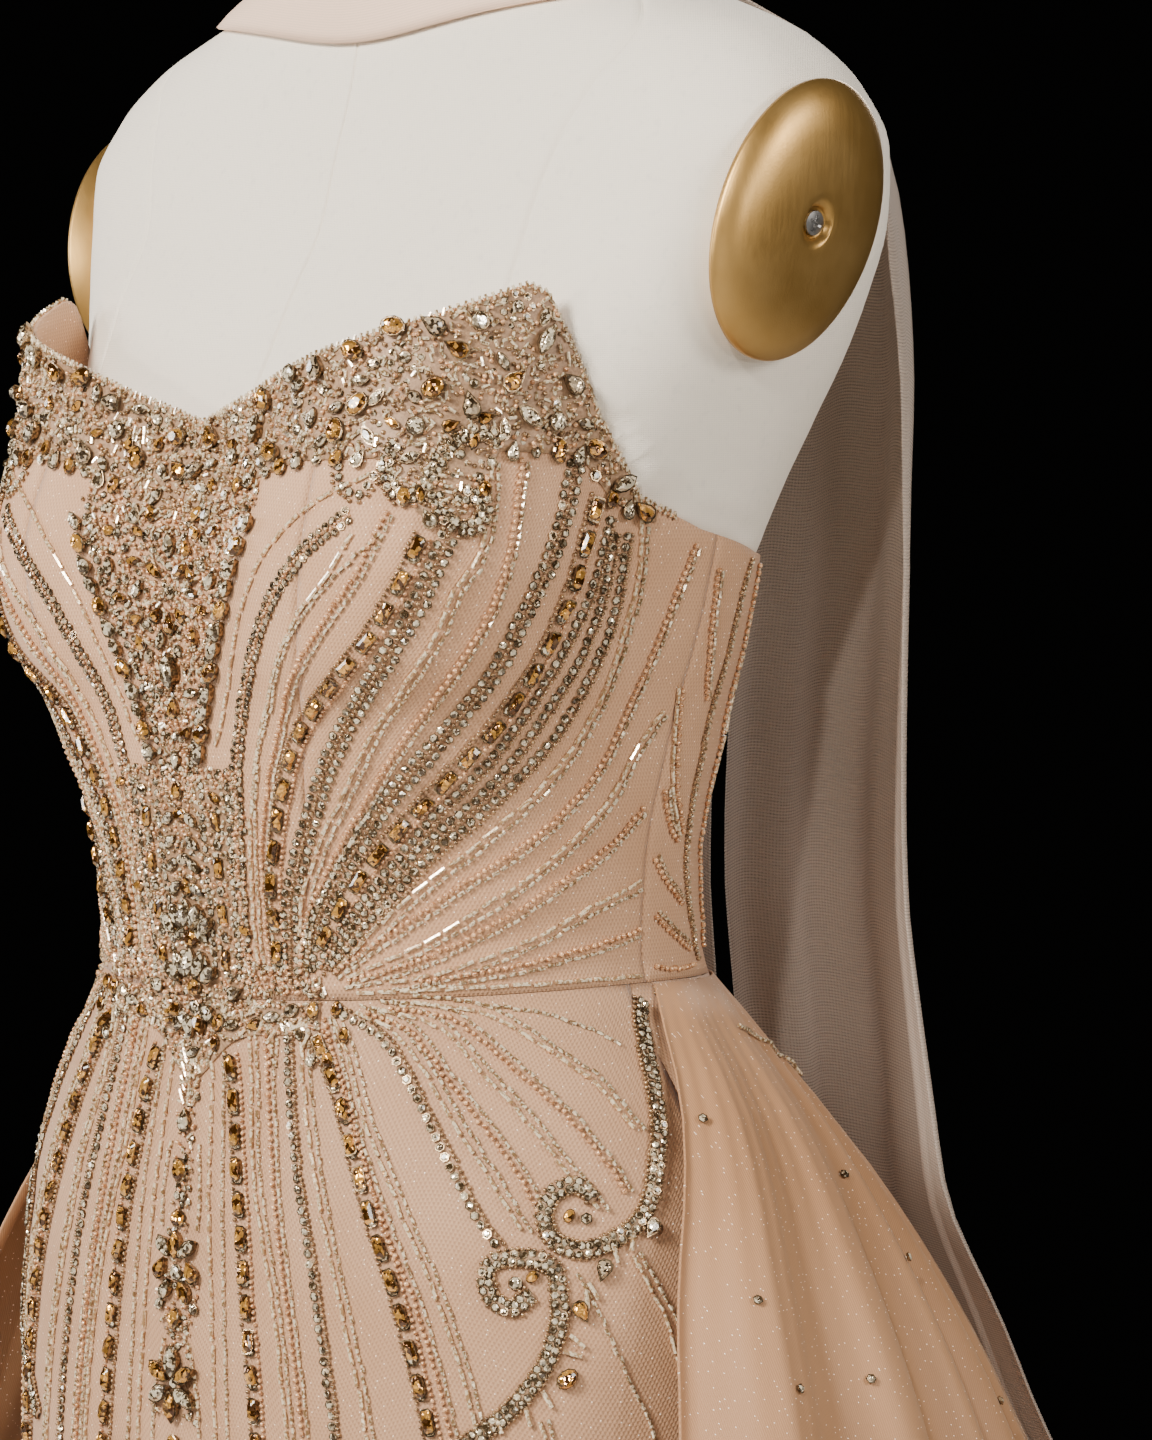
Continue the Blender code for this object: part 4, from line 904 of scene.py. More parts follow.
smallSocket = [(0.88, -0.34), (1.18, 0.08)]
shapes = {
    "seed": seedShape(), "tube": tubeShape(6), "stub": tubeShape(5), "round": ringShape(polygon(6), roundCrown),
    "roundSocket": ringShape(polygon(6), smallSocket), "oval": ringShape(ovalOutline, crown),
    "navette": ringShape(navetteOutline, flatCrown), "pear": ringShape(pearOutline, crown),
    "baguette": ringShape(baguetteOutline, flatCrown), "ovalSocket": ringShape(ovalOutline, socket),
    "navetteSocket": ringShape(navetteOutline, smallSocket), "pearSocket": ringShape(pearOutline, smallSocket),
    "baguetteSocket": ringShape(baguetteOutline, smallSocket), "big": ringShape(polygon(8), crown),
    "bigSocket": ringShape(polygon(8), socket),
}
sewn = {}  # (finish, shape): list of places, directions along and out, and sizes


def sew(finish, shape, place, along, out, size):
    place = np.atleast_2d(place)
    size = np.broadcast_to(np.asarray(size, float), place.shape)
    along, out = np.broadcast_to(along, place.shape), np.broadcast_to(out, place.shape)
    sewn.setdefault((finish, shape), []).append((place, along, out, size))


def setStone(colour, shape, place, along, out, size, tilt=0.16):  # a cut stone in its metal socket, tilted a little
    place = np.atleast_2d(place)
    along, out = np.broadcast_to(along, place.shape), np.broadcast_to(out, place.shape)
    across = np.cross(out, along)
    lean = out + tilt * chance.normal(size=(len(place), 1)) * along
    lean = lean + tilt * chance.normal(size=(len(place), 1)) * across
    length, width = size
    high = 0.5 * min(length, width * 2)
    base = place + 0.42 * high * out
    for finish, kind in ((colour, shape), ("socket", shape + "Socket")):
        sew(finish, kind, base, along, unit(lean), (length, length, high * 1.5))


# A line over the gown through (angle, height) marks; its beads are spread evenly by arc length.
def routeOf(marks, side):
    marks = np.array(marks, float)
    steps, places = np.linspace(0, len(marks) - 1, 60 * len(marks)), np.arange(len(marks))
    angle = side * smoothCurve(places, marks[:, 0], steps)
    height = smoothCurve(places, marks[:, 1], steps)
    return angle, height, arcOf(gownSurface(angle, height))


def spots(route, where, shift=0.0):  # place, along and out at distances along the line
    angle, height, arc = route

    def at(distance):
        return np.interp(distance, arc, angle), np.interp(distance, arc, height)

    ahead, behind = at(np.minimum(where + 0.001, arc[-1])), at(np.maximum(where - 0.001, 0))
    along = unit(gownSurface(*ahead) - gownSurface(*behind))
    out = normalsOf(gownSurface, *at(where))
    return gownSurface(*at(where)) + shift * np.cross(out, along), along, out


# Each strand of a line: finish, shape, pitch, length, width, lift of its middle, shift across, phase. Millimetres.
strands = {
    "bugles": [("cream", "tube", 8.1, 6.7, 1.6, 0.8, 0.0, 0.0), ("peach", "seed", 8.1, 1.5, 1.5, 0.7, 0.0, 0.5)],
    "silver": [("silver", "stub", 3.7, 2.8, 1.5, 0.75, 0.0, 0.0)],
    "peach": [("peach", "seed", 2.8, 2.4, 2.4, 1.0, 0.0, 0.0)],
    "bugleRow": [("cream", "tube", 8.1, 6.7, 1.6, 0.8, 0.0, 0.0), ("peach", "seed", 8.1, 1.5, 1.5, 0.7, 0.0, 0.5),
                 ("silver", "stub", 3.7, 2.8, 1.5, 0.75, 3.2, 0.2)],
    "peachRow": [("peach", "seed", 2.8, 2.4, 2.4, 1.0, -0.8, 0.0),
                 ("silver", "stub", 3.7, 2.8, 1.5, 0.75, 2.0, 0.5)],
    "chain": [("clear", "round", 4.0, 3.3, 3.3, 0.0, 0.0, 0.0), ("bronze", "seed", 2.2, 2.0, 2.0, 0.8, 2.7, 0.3)],
    "pair": [("clear", "round", 4.0, 3.2, 3.2, 0.0, -2.6, 0.0), ("bronze", "seed", 2.2, 2.0, 2.0, 0.8, 0.0, 0.5),
             ("clear", "round", 4.0, 3.2, 3.2, 0.0, 2.6, 0.5)],
    "darkPair": [("smoke", "round", 3.3, 2.9, 2.9, 0.0, -2.0, 0.0),
                 ("peach", "seed", 2.0, 1.7, 1.7, 0.7, 0.0, 0.5),
                 ("smoke", "round", 3.3, 2.9, 2.9, 0.0, 2.0, 0.5)],
    "baguettes": [("amber", "baguette", 13.0, 8.2, 9.2, 0.3, 0.0, 0.0),
                  ("clear", "round", 13.0, 4.6, 4.6, 0.2, 0.0, 0.5),
                  ("bronze", "seed", 2.3, 1.9, 1.9, 0.8, -3.3, 0.2), ("peach", "seed", 2.3, 1.9, 1.9, 0.8, 3.3, 0.6)],
    "doubleSeed": [("bronze", "seed", 2.0, 1.9, 1.9, 0.8, -1.1, 0.0),
                   ("silver", "seed", 2.0, 1.8, 1.8, 0.8, 1.1, 0.5)],
    "scroll": [("clear", "round", 3.2, 3.0, 3.0, 1.2, -1.3, 0.0),
               ("clear", "round", 3.2, 3.0, 3.0, 1.2, 1.4, 0.5),
               ("bronze", "seed", 2.0, 1.9, 1.9, 0.9, -3.1, 0.0), ("bronze", "seed", 2.0, 1.9, 1.9, 0.9, 3.1, 0.5)],
}


def layLine(kind, marks, side):
    route = routeOf(marks, side)
    total = route[2][-1]
    for finish, shape, pitch, length, width, lift, shift, phase in strands[kind]:
        count = max(1, int((total - 0.001) / (pitch * 0.001)))
        where = (np.arange(count) + 0.5 + 0.5 * phase) * total / (count + 0.5)
        thinning = np.clip((0.90 - np.interp(where, route[2], route[1])) / 0.22, 0, 1) ** 1.5  # down the skirt
        where = where[chance.random(len(where)) > thinning]
        point, along, out = spots(route, where, shift * 0.001 * side)
        across = np.cross(out, along)
        point = point + 0.00022 * chance.normal(size=(len(where), 1)) * across + lift * 0.001 * out
        along = unit(along + 0.06 * chance.normal(size=(len(where), 1)) * across)
        if shape in ("round", "baguette"):
            slim = 0.4 if shape == "baguette" else 1
            setStone(finish, shape, point, along, out, (length * 0.001, width * 0.001 * slim))
        else:
            sew(finish, shape, point, along, out, (length * 0.001, width * 0.001, width * 0.001))


bodiceLines = [  # kind, then (angle, height) marks down from the neckline
    ("bugles", [(39, 1.283), (33, 1.275), (27, 1.262), (22, 1.246), (19, 1.231), (16.5, 1.214), (13.4, 1.194),
                (10, 1.177)]),
    ("darkPair", [(37, 1.269), (31, 1.255), (26, 1.238), (21.8, 1.217), (17.4, 1.189), (15.6, 1.165),
                  (15, 1.13), (15, 1.095)]),
    ("bugles", [(37.6, 1.262), (34.6, 1.246), (29.8, 1.229), (25.9, 1.209), (21.9, 1.185), (20, 1.17),
                (18.4, 1.15), (18, 1.12), (19, 1.095)]),
    ("silver", [(41, 1.262), (35, 1.244), (29, 1.222), (24.9, 1.199), (20.9, 1.175), (19.6, 1.15),
                (19.4, 1.12), (20.4, 1.094)]),
    ("peachRow", [(41.6, 1.27), (38.4, 1.246), (33.4, 1.224), (28.6, 1.204), (25.4, 1.183), (23, 1.165),
                  (21.2, 1.14), (21.5, 1.112), (23, 1.092)]),
    ("baguettes", [(46, 1.262), (43.5, 1.241), (40.4, 1.223), (36.8, 1.21), (32.6, 1.197), (29.4, 1.185),
                   (26.8, 1.17), (24.4, 1.15), (23, 1.128), (23.6, 1.105), (25, 1.092)]),
    ("pair", [(49, 1.262), (46.4, 1.238), (43.4, 1.218), (39.2, 1.198), (35, 1.178), (31.6, 1.158),
              (28.8, 1.14), (26.6, 1.12), (26.6, 1.095)]),
    ("bugleRow", [(53, 1.288), (53.4, 1.27), (52.8, 1.255), (50.4, 1.241), (48.6, 1.223), (45.2, 1.205),
                  (41.2, 1.187), (37.6, 1.167), (32.9, 1.146), (29.2, 1.122), (28.2, 1.098)]),
    ("peachRow", [(57.4, 1.289), (57, 1.262), (55.9, 1.238), (53.1, 1.217), (49.1, 1.197), (44.9, 1.179),
                  (40.2, 1.158), (34.4, 1.135), (30, 1.112), (29, 1.095)]),
    ("pair", [(65, 1.288), (64.2, 1.272), (63, 1.256), (60.6, 1.236), (58, 1.214), (54, 1.195), (49.6, 1.179),
              (43, 1.158), (36.8, 1.134), (31.6, 1.112), (29.6, 1.097)]),
    ("baguettes", [(69, 1.276), (67.8, 1.258), (66.6, 1.24), (65, 1.223), (62.8, 1.207), (59.8, 1.192),
                   (56, 1.179), (52, 1.167), (46.8, 1.152), (40, 1.132), (34.4, 1.112), (31.5, 1.1)]),
    ("chain", [(71.4, 1.268), (70, 1.24), (67.8, 1.222), (65, 1.203), (61.6, 1.186), (57.1, 1.171),
               (52.4, 1.158), (46.8, 1.141), (40.4, 1.123), (34.6, 1.107), (32, 1.097)]),
    ("chain", [(72.6, 1.262), (72.2, 1.238), (70.6, 1.217), (67.4, 1.197), (63.4, 1.179), (58.8, 1.164),
               (53, 1.151), (44.8, 1.13), (38.2, 1.112), (33.6, 1.099)]),
    ("chain", [(74.8, 1.262), (75, 1.232), (73.4, 1.211), (70.6, 1.191), (65.6, 1.174), (59.8, 1.158),
               (52.6, 1.143), (45.4, 1.124), (38.6, 1.108), (34.4, 1.098)]),
    ("bugleRow", [(77.2, 1.268), (78.2, 1.243), (77.6, 1.222), (76.6, 1.201), (73.8, 1.184), (68.3, 1.165),
                  (60, 1.147), (52.4, 1.133), (44.8, 1.117), (37.6, 1.102), (34.8, 1.097)]),
    ("peachRow", [(89.4, 1.257), (87.1, 1.239), (85.1, 1.218), (83, 1.197), (80.4, 1.177), (75.5, 1.16),
                  (67.1, 1.143), (58.4, 1.131), (51, 1.119), (42.6, 1.107), (35.4, 1.0965)]),
    ("bugleRow", [(90.5, 1.195), (86.4, 1.18), (83, 1.163), (76.2, 1.146), (67.6, 1.131), (59, 1.119),
                  (51.4, 1.109), (42.8, 1.1), (36.4, 1.0945)]),
    ("peachRow", [(91.5, 1.158), (85.2, 1.144), (75, 1.13), (64.4, 1.116), (53.4, 1.104), (43.6, 1.097),
                  (37.5, 1.094)]),
    ("bugleRow", [(92.9, 1.13), (81, 1.121), (72.2, 1.112), (62.8, 1.104), (53.4, 1.098), (44, 1.0942)]),
    ("peachRow", [(93.5, 1.111), (82, 1.106), (72.2, 1.102), (60.4, 1.0975), (50.6, 1.0945)]),
    ("bugles", [(93, 1.0945), (82, 1.0945), (69, 1.094), (53, 1.0925), (38, 1.0905)]),
    ("peachRow", [(95.5, 1.248), (96, 1.235), (97.4, 1.221), (99.4, 1.207), (102, 1.196)]),
    ("bugles", [(92.4, 1.204), (94.4, 1.186), (96.4, 1.169), (100.2, 1.154), (103.6, 1.142)]),
    ("peach", [(93.4, 1.203), (95.4, 1.186), (97.4, 1.17), (101.2, 1.155), (104.4, 1.145)]),
    ("peachRow", [(95.4, 1.165), (98.4, 1.152), (102.8, 1.143)]),
    ("peachRow", [(95.6, 1.139), (100, 1.129), (106.4, 1.119)]),
    ("peachRow", [(96.8, 1.117), (102.6, 1.109), (110, 1.101)]),
    ("peach", [(96.2, 1.097), (103.6, 1.095), (111, 1.0955)]),
    ("doubleSeed", [(106, 1.251), (104.4, 1.24), (104.2, 1.225), (104.4, 1.207), (104.2, 1.19), (104.6, 1.172),
                    (105.6, 1.155), (106.4, 1.14), (108, 1.124), (111, 1.108), (113.5, 1.0955)]),
]
backLines = [
    ("peachRow", [(112, 1.249), (113, 1.2), (116, 1.15), (122, 1.098)]),
    ("bugleRow", [(120, 1.247), (120, 1.2), (123, 1.15), (130, 1.098)]),
    ("chain", [(128, 1.245), (127, 1.2), (130, 1.15), (138, 1.098)]),
    ("peachRow", [(139, 1.242), (136, 1.2), (139, 1.15), (147, 1.097)]),
    ("bugleRow", [(148, 1.239), (146, 1.2), (149, 1.15), (156, 1.097)]),
    ("chain", [(157, 1.236), (156, 1.2), (158, 1.15), (163, 1.097)]),
    ("peachRow", [(166, 1.235), (165, 1.2), (167, 1.15), (170, 1.097)]),
    ("doubleSeed", [(174.5, 1.233), (174.5, 1.16), (174.5, 1.097)]),
]
skirtLines = [  # down from the waist
    ("bugleRow", [(16, 1.078), (18.2, 1.05), (19, 1.03), (21.9, 1.001), (24.1, 0.981), (25.8, 0.961),
                  (27.5, 0.933), (30.5, 0.87), (33, 0.79), (35, 0.70)]),
    ("chain", [(25.4, 1.078), (27.6, 1.045), (29.6, 1.02), (31.9, 0.997), (33.8, 0.973), (35.4, 0.95),
               (36.6, 0.929), (39, 0.87), (41, 0.80), (43, 0.72)]),
    ("bugleRow", [(28.6, 1.08), (31.2, 1.044), (33.9, 1.017), (36.6, 0.991), (39.4, 0.964), (41.6, 0.938),
                  (44.6, 0.88), (47, 0.81), (48.5, 0.74)]),
    ("baguettes", [(32, 1.076), (36.2, 1.06), (38.6, 1.047), (40.6, 1.032), (42.6, 1.016), (44.9, 0.999),
                   (46.9, 0.984), (48.6, 0.968), (50, 0.952), (51.2, 0.937), (53.6, 0.89), (55, 0.84),
                   (56, 0.78)]),
    ("bugleRow", [(35.6, 1.082), (39.2, 1.066), (41.9, 1.047), (45.6, 1.026), (48.9, 1.006), (52, 0.987),
                  (54.5, 0.966), (56.6, 0.944), (59, 0.90), (61, 0.85), (62, 0.80)]),
    ("chain", [(37, 1.083), (42.5, 1.078), (46, 1.072), (49.4, 1.06), (52.6, 1.045), (55.6, 1.028),
               (58.4, 1.011), (61, 1.0)]),
    ("bugleRow", [(40, 1.084), (47, 1.077), (51.6, 1.065), (54.8, 1.052), (57.6, 1.039), (60, 1.028),
                  (62.5, 1.014), (64.4, 1.004)]),
    ("peachRow", [(42, 1.0845), (49.6, 1.079), (55.6, 1.062), (59.1, 1.05), (62.2, 1.038), (64.6, 1.026),
                  (66.3, 1.013)]),
    ("bugleRow", [(44, 1.0855), (51, 1.082), (55.6, 1.077), (60.6, 1.064), (65.4, 1.049), (69.2, 1.033),
                  (72.1, 1.02), (73.6, 1.011)]),
    ("peachRow", [(46, 1.0865), (55.5, 1.084), (60.6, 1.077), (65.4, 1.066), (69.6, 1.055), (72.4, 1.046),
                  (74.2, 1.038), (76, 1.029), (77.4, 1.019)]),
    ("bugleRow", [(50, 1.0875), (59.5, 1.0855), (67, 1.078), (73, 1.067), (76.8, 1.059), (79.2, 1.048),
                  (81.1, 1.039)]),
    ("silver", [(62, 1.0875), (72.6, 1.083), (76.4, 1.0795), (80.1, 1.076), (84.2, 1.07)]),
    ("baguettes", [(11.4, 1.066), (13.4, 1.052), (15, 1.033), (16.2, 1.016), (17.6, 0.998), (18.8, 0.974),
                   (20, 0.955), (20.9, 0.936), (22.6, 0.89), (24, 0.84), (25, 0.78)]),
    ("silver", [(9.6, 1.066), (10.6, 1.045), (11.6, 1.02), (12.6, 0.99), (13.6, 0.95), (15, 0.89), (16, 0.82)]),
    ("peachRow", [(20.6, 1.08), (23.2, 1.045), (25, 1.015), (27.4, 0.985), (29.6, 0.955), (31.6, 0.92),
                  (34, 0.86), (36.4, 0.78)]),
    ("peachRow", [(22.8, 1.082), (22.6, 1.06)]),
    ("peachRow", [(34, 1.082), (37.6, 1.062), (40, 1.045), (43.2, 1.024), (46.2, 1.004), (49.4, 0.984),
                  (51.6, 0.964), (53.6, 0.942), (56, 0.90), (58, 0.85)]),
    ("bugleRow", [(76.4, 0.999), (78.5, 0.984), (80, 0.972), (81, 0.95)]),
    ("silver", [(69.6, 0.993), (71.6, 0.981), (73.2, 0.967), (75, 0.952), (77.2, 0.936), (78.6, 0.91),
                (79, 0.87)]),
    ("peachRow", [(59.4, 0.925), (61, 0.90), (63, 0.87), (65, 0.82)]),
    ("bugleRow", [(64.6, 0.94), (67, 0.91), (69, 0.875), (70.5, 0.83)]),
    ("silver", [(4.4, 1.03), (5.6, 1.01), (5.2, 0.995)]),
    ("silver", [(3.6, 0.955), (6.4, 0.93), (7.4, 0.89), (8, 0.84)]),
    ("bugles", [(6.2, 1.062), (7.2, 1.04), (8, 1.015), (9, 0.99), (10.2, 0.955), (11.6, 0.90), (12.6, 0.84),
                (13, 0.78)]),
]
hipScroll = [(87.5, 1.070), (86, 1.058), (84.5, 1.046), (82, 1.031), (79, 1.014), (75.5, 1.006), (71, 1.001),
             (67.5, 1.004), (66.5, 1.012), (68, 1.021), (71, 1.024), (73, 1.018)]
frontScroll = [(64.5, 0.986), (62, 0.980), (59.5, 0.984), (59, 0.992), (61.5, 0.998), (65, 0.998),
               (67.5, 0.991), (67.5, 0.980), (66.5, 0.967), (64.5, 0.955), (61, 0.942), (57, 0.932),
               (51.5, 0.921), (47, 0.908)]
joinLines = [
    ("scroll", [(91.4, 1.0862), (89.6, 1.0790), (87.7, 1.0685)]), ("scroll", hipScroll), ("scroll", frontScroll),
    ("doubleSeed", [(94.5, 1.0885), (100, 1.0885), (106, 1.0885), (112, 1.0885)]),
]
cord = {"halfWidth": 0.0023, "lift": 0.0007, "height": 0.0011, "thickness": 0.0005}


# A low rounded cord under the beads of a scroll: a half-round profile carried along the line.
def scrollCord(name, marks, side, material, node):
    route = routeOf(marks, side)
    point, along, out = spots(route, np.linspace(0.0005, route[2][-1] - 0.0005, 120))
    across, bend = np.cross(out, along), np.linspace(np.pi, 0, 7)[:, None, None]
    grid = point + cord["halfWidth"] * np.cos(bend) * across + (cord["lift"] + cord["height"] * np.sin(bend)) * out
    made = shell(name, grid[::-1], np.stack([out] * len(bend)), cord["thickness"], material)[0]
    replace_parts(made, node)


crustMarks = np.array([  # angle, height of the lower edge of the crusted band round the neckline
    (0, 1.268), (9, 1.266), (12.5, 1.275), (20, 1.281), (27.5, 1.287), (39.5, 1.288), (41.2, 1.281), (45.4, 1.267),
    (49, 1.264), (52.2, 1.274), (54.1, 1.291), (65.4, 1.289), (71.2, 1.273), (77, 1.266), (84, 1.262),
])
plastronMarks = np.array([  # height, half angle of the pointed centre panel
    (1.160, 4.0), (1.175, 5.0), (1.190, 6.8), (1.203, 8.8), (1.217, 11.0), (1.230, 13.0), (1.244, 15.2),
    (1.260, 17.5), (1.272, 20.0),
])


def crustBottom(angle):
    return np.interp(np.abs(angle), crustMarks[:, 0], crustMarks[:, 1])


def plastronEdge(height):
    return np.interp(height, plastronMarks[:, 0], plastronMarks[:, 1])


def scattered(low, high, bottom, top, spacing):  # a jittered triangular grid of (angle, height)
    turn = math.degrees(spacing / 0.145)
    a, h = np.meshgrid(np.arange(low, high, turn), np.arange(bottom, top, spacing * 0.87))
    a = a + np.where(np.arange(len(a))[:, None] % 2, turn / 2, 0)
    a = a + turn * 0.28 * chance.normal(size=a.shape)
    h = h + spacing * 0.28 * chance.normal(size=a.shape)
    return a.ravel(), h.ravel()


taken = []  # where the large stones sit, with their radii


def clearOf(points, margin):
    keep = np.ones(len(points), bool)
    for place, radius in taken:
        keep &= np.linalg.norm(points - place, axis=1) > radius + margin
    return keep


def facing(angle, height, spin):  # place, along and out for beads that lie at any slant
    point = gownSurface(angle, height)
    out = normalsOf(gownSurface, angle, height)
    up = unit(np.array([0, 0, 1.0]) - out * out[..., 2:3])
    across = np.cross(up, out)
    return point, np.cos(spin)[..., None] * across + np.sin(spin)[..., None] * up, out


# One stone: angle and spin in degrees, length and width in millimetres, height and lift in metres.
def stone(colour, shape, angle, height, length, spin, width=None, lift=0.0004):
    angle, height, spin = (np.array([float(v)]) for v in (angle, height, math.radians(spin)))
    point, along, out = facing(angle, height, spin)
    size = (length * 0.001, (width or length * 0.6) * 0.001)
    setStone(colour, shape, point + lift * out, along, out, size, tilt=0.10)
    taken.append((point[0], length * 0.00042))


def layStones(table, side, share):  # a table of stones, mirrored on the right; share: width over length
    for colour, shape, angle, height, length, spin in table:
        stone(colour, shape, side * angle, height, length, spin if side > 0 else 180 - spin, length * share)


def layTube(angle, height, spin, length, width, lift):  # a long cream tube; spin in radians, the sizes in metres
    point, along, out = facing(*(np.array([float(v)]) for v in (angle, height, spin)))
    sew("cream", "tube", point + lift * out, along, out, (length, width, width))


def crust(angle, height, lift, shares):  # packed small beads: short tubes at every slant, and seeds between them
    keep = clearOf(gownSurface(angle, height), 0.0006)
    angle, height = angle[keep], height[keep]
    spin = chance.random(len(angle)) * 2 * np.pi
    point, along, out = facing(angle, height, spin)
    rise = lift + 0.0009 * chance.random((len(angle), 1))
    pick, start = chance.random(len(angle)), 0.0
    for finish, shape, length, width, share in shares:
        chosen = (pick >= start) & (pick < start + share)
        start += share
        size = np.array([length, width, width]) * 0.001
        if shape == "round":
            setStone(finish, shape, point[chosen], along[chosen], out[chosen], (length * 0.001, width * 0.001))
        else:
            sew(finish, shape, (point + rise * out)[chosen], along[chosen], out[chosen], size)


crustShares = [  # finish, shape, length, width, share of the beads
    ("silver", "stub", 3.2, 1.35, 0.31), ("bronze", "seed", 2.0, 2.0, 0.31), ("peach", "seed", 2.1, 2.1, 0.16),
    ("cream", "stub", 3.2, 1.35, 0.08), ("clear", "round", 2.6, 2.6, 0.05),
]
panelShares = [
    ("peach", "seed", 2.0, 2.0, 0.32), ("silver", "stub", 2.9, 1.3, 0.22), ("bronze", "seed", 1.9, 1.9, 0.29),
    ("clear", "round", 2.7, 2.7, 0.17),
]
centreShares = [
    ("silver", "seed", 1.9, 1.9, 0.30), ("peach", "seed", 2.0, 2.0, 0.36), ("bronze", "seed", 1.8, 1.8, 0.14),
    ("clear", "round", 2.6, 2.6, 0.20),
]
waistShares = [
    ("silver", "stub", 2.8, 1.3, 0.30), ("peach", "seed", 2.0, 2.0, 0.26), ("bronze", "seed", 1.9, 1.9, 0.20),
    ("clear", "round", 2.6, 2.6, 0.24),
]
necklineStones = [
    (39.8, 1.336), (44.5, 1.3365), (50, 1.338), (54.6, 1.3435), (58.2, 1.3315), (54.6, 1.317), (45.2, 1.314),
    (49.6, 1.308), (43.6, 1.300), (36.2, 1.308), (41.4, 1.325), (47.4, 1.328), (34.8, 1.3275), (29.4, 1.3215),
    (24.4, 1.3195), (19, 1.310), (17.6, 1.299), (26.5, 1.299), (33.5, 1.298), (62.4, 1.316), (61, 1.302),
    (67.2, 1.292), (72.4, 1.2795), (4.6, 1.296), (10.2, 1.303), (2.2, 1.283), (12.4, 1.288), (22.4, 1.29),
    (57, 1.304), (76.6, 1.2695),
]
bandStones = [  # colour, shape, length
    ("amber", "oval", 9.2), ("amber", "pear", 9.4), ("clear", "navette", 10.4), ("amber", "oval", 9.2),
    ("clear", "big", 6.8), ("smoke", "pear", 9.4),
]
edgeStones = [("amber", "oval", 6.8), ("clear", "pear", 7.2), ("clear", "round", 4.0)]
fillStones = [
    ("amber", "pear", 6.4), ("clear", "navette", 7.4), ("clear", "round", 3.6), ("smoke", "oval", 5.6),
    ("amber", "navette", 6.6),
]
rimAngles = [0.2, 15, 30, 44, 56, 58.5, 67.5, 76.5, 84]
band = {  # the crusted band: its layers are (lift, spacing)
    "heights": (1.262, 1.352), "halfAngle": 79.5, "room": 0.0086, "layers": ((0.0008, 0.0026), (0.0017, 0.0042)),
}
rimSeed = {"size": 0.0019, "start": 0.001}
rimTube = {"length": 0.0030, "width": 0.00125, "pitch": 0.0027, "start": 0.0015}
baseLift, fineSpacing = 0.0008, 0.0024  # of the other packed areas


def rosette(angle, height, size):  # a round stone with a ring of small ones
    stone("clear", "big", angle, height, size * 0.5, 0, size * 0.5)
    for k in range(7):
        turn, reach = k * 2 * math.pi / 7, size * 0.00052
        around = math.degrees(reach * math.cos(turn) / 0.14)
        stone("clear", "round", angle + around, height + reach * math.sin(turn), size * 0.30, 0, size * 0.30)


def strewStones(side, angles, heights, spacing, allowed):  # middling stones wherever there is still room
    a, h = scattered(*angles, *heights, spacing)
    for angle, height in zip(a, h):
        point = gownSurface(np.array([side * angle]), np.array([height]))
        if allowed(angle, height) and clearOf(point, 0.0034)[0]:
            colour, shape, length = fillStones[chance.integers(0, 5)]
            stone(colour, shape, side * angle, height, length, chance.random() * 180, length * 0.6)


def makeNecklineCrust():
    for side in (1, -1):
        for k, (angle, height) in enumerate(necklineStones):
            colour, shape, length = bandStones[(k * 5 + (side < 0) * 2) % len(bandStones)]
            if k % 7 == 3:
                rosette(side * angle, height, 9.0)
            else:
                spin = chance.random() * 180
                stone(colour, shape, side * angle, height, length, spin, length * 0.72, 0.0014)
        inBand = lambda a, h: crustBottom(a) + 0.004 < h < neckline(a) - 0.0045
        strewStones(side, (1, 79), band["heights"], band["room"], inBand)
        for k, angle in enumerate(np.arange(6, 76, 3.1)):  # stones that hang along the band's lower edge
            colour, shape, length = edgeStones[k % 3]
            spin = 60 + 60 * chance.random()
            stone(colour, shape, side * angle, crustBottom(angle) + 0.0005, length, spin, length * 0.7)
    for layer, spacing in band["layers"]:
        a, h = scattered(-band["halfAngle"], band["halfAngle"], *band["heights"], spacing)
        inside = (h > crustBottom(a) + 0.001) & (h < neckline(a) - 0.0008)
        crust(a[inside], h[inside], layer, crustShares)
    for side in (1, -1):  # rim of seeds, with short tubes that stand over the edge
        angle = side * np.interp(np.linspace(0, 1, 360), np.linspace(0, 1, len(rimAngles)), rimAngles)
        arc = arcOf(gownSurface(angle, neckline(angle) - 0.0008))
        a = np.interp(np.arange(rimSeed["start"], arc[-1], rimSeed["size"]), arc, angle)
        point, along, out = facing(a, neckline(a) - 0.0006, np.zeros(len(a)))
        sew("peach", "seed", point + 0.0004 * out, along, out, rimSeed["size"])
        a = np.interp(np.arange(rimTube["start"], arc[-1], rimTube["pitch"]), arc, angle)
        point, along, out = facing(a, neckline(a) - 0.0002, np.radians(60 + 60 * chance.random(len(a))))
        size = (rimTube["length"], rimTube["width"], rimTube["width"])
        sew("silver", "stub", point + 0.0011 * out, along, out, size)


# Tables of stones: colour, shape, angle, height, length in millimetres, spin in degrees.
plastronStones = [
    ("clear", "navette", 0, 1.2555, 9, 90), ("clear", "round", -3.6, 1.259, 3.8, 0),
    ("clear", "round", 3.6, 1.259, 3.8, 0), ("amber", "navette", -3.4, 1.2465, 8, 140),
    ("amber", "navette", 3.4, 1.2465, 8, 40), ("smoke", "big", 0, 1.238, 5, 0), ("amber", "pear", -3.2, 1.230, 7, 50),
    ("amber", "pear", 3.2, 1.230, 7, 130), ("amber", "pear", 0, 1.2265, 8, 90), ("clear", "navette", 0, 1.2085, 13, 90),
    ("amber", "pear", 0, 1.1945, 7.5, 90), ("clear", "round", 0, 1.184, 3.6, 0), ("clear", "pear", 0, 1.1745, 6.5, 270),
    ("amber", "oval", 0, 1.1635, 7, 90),
]
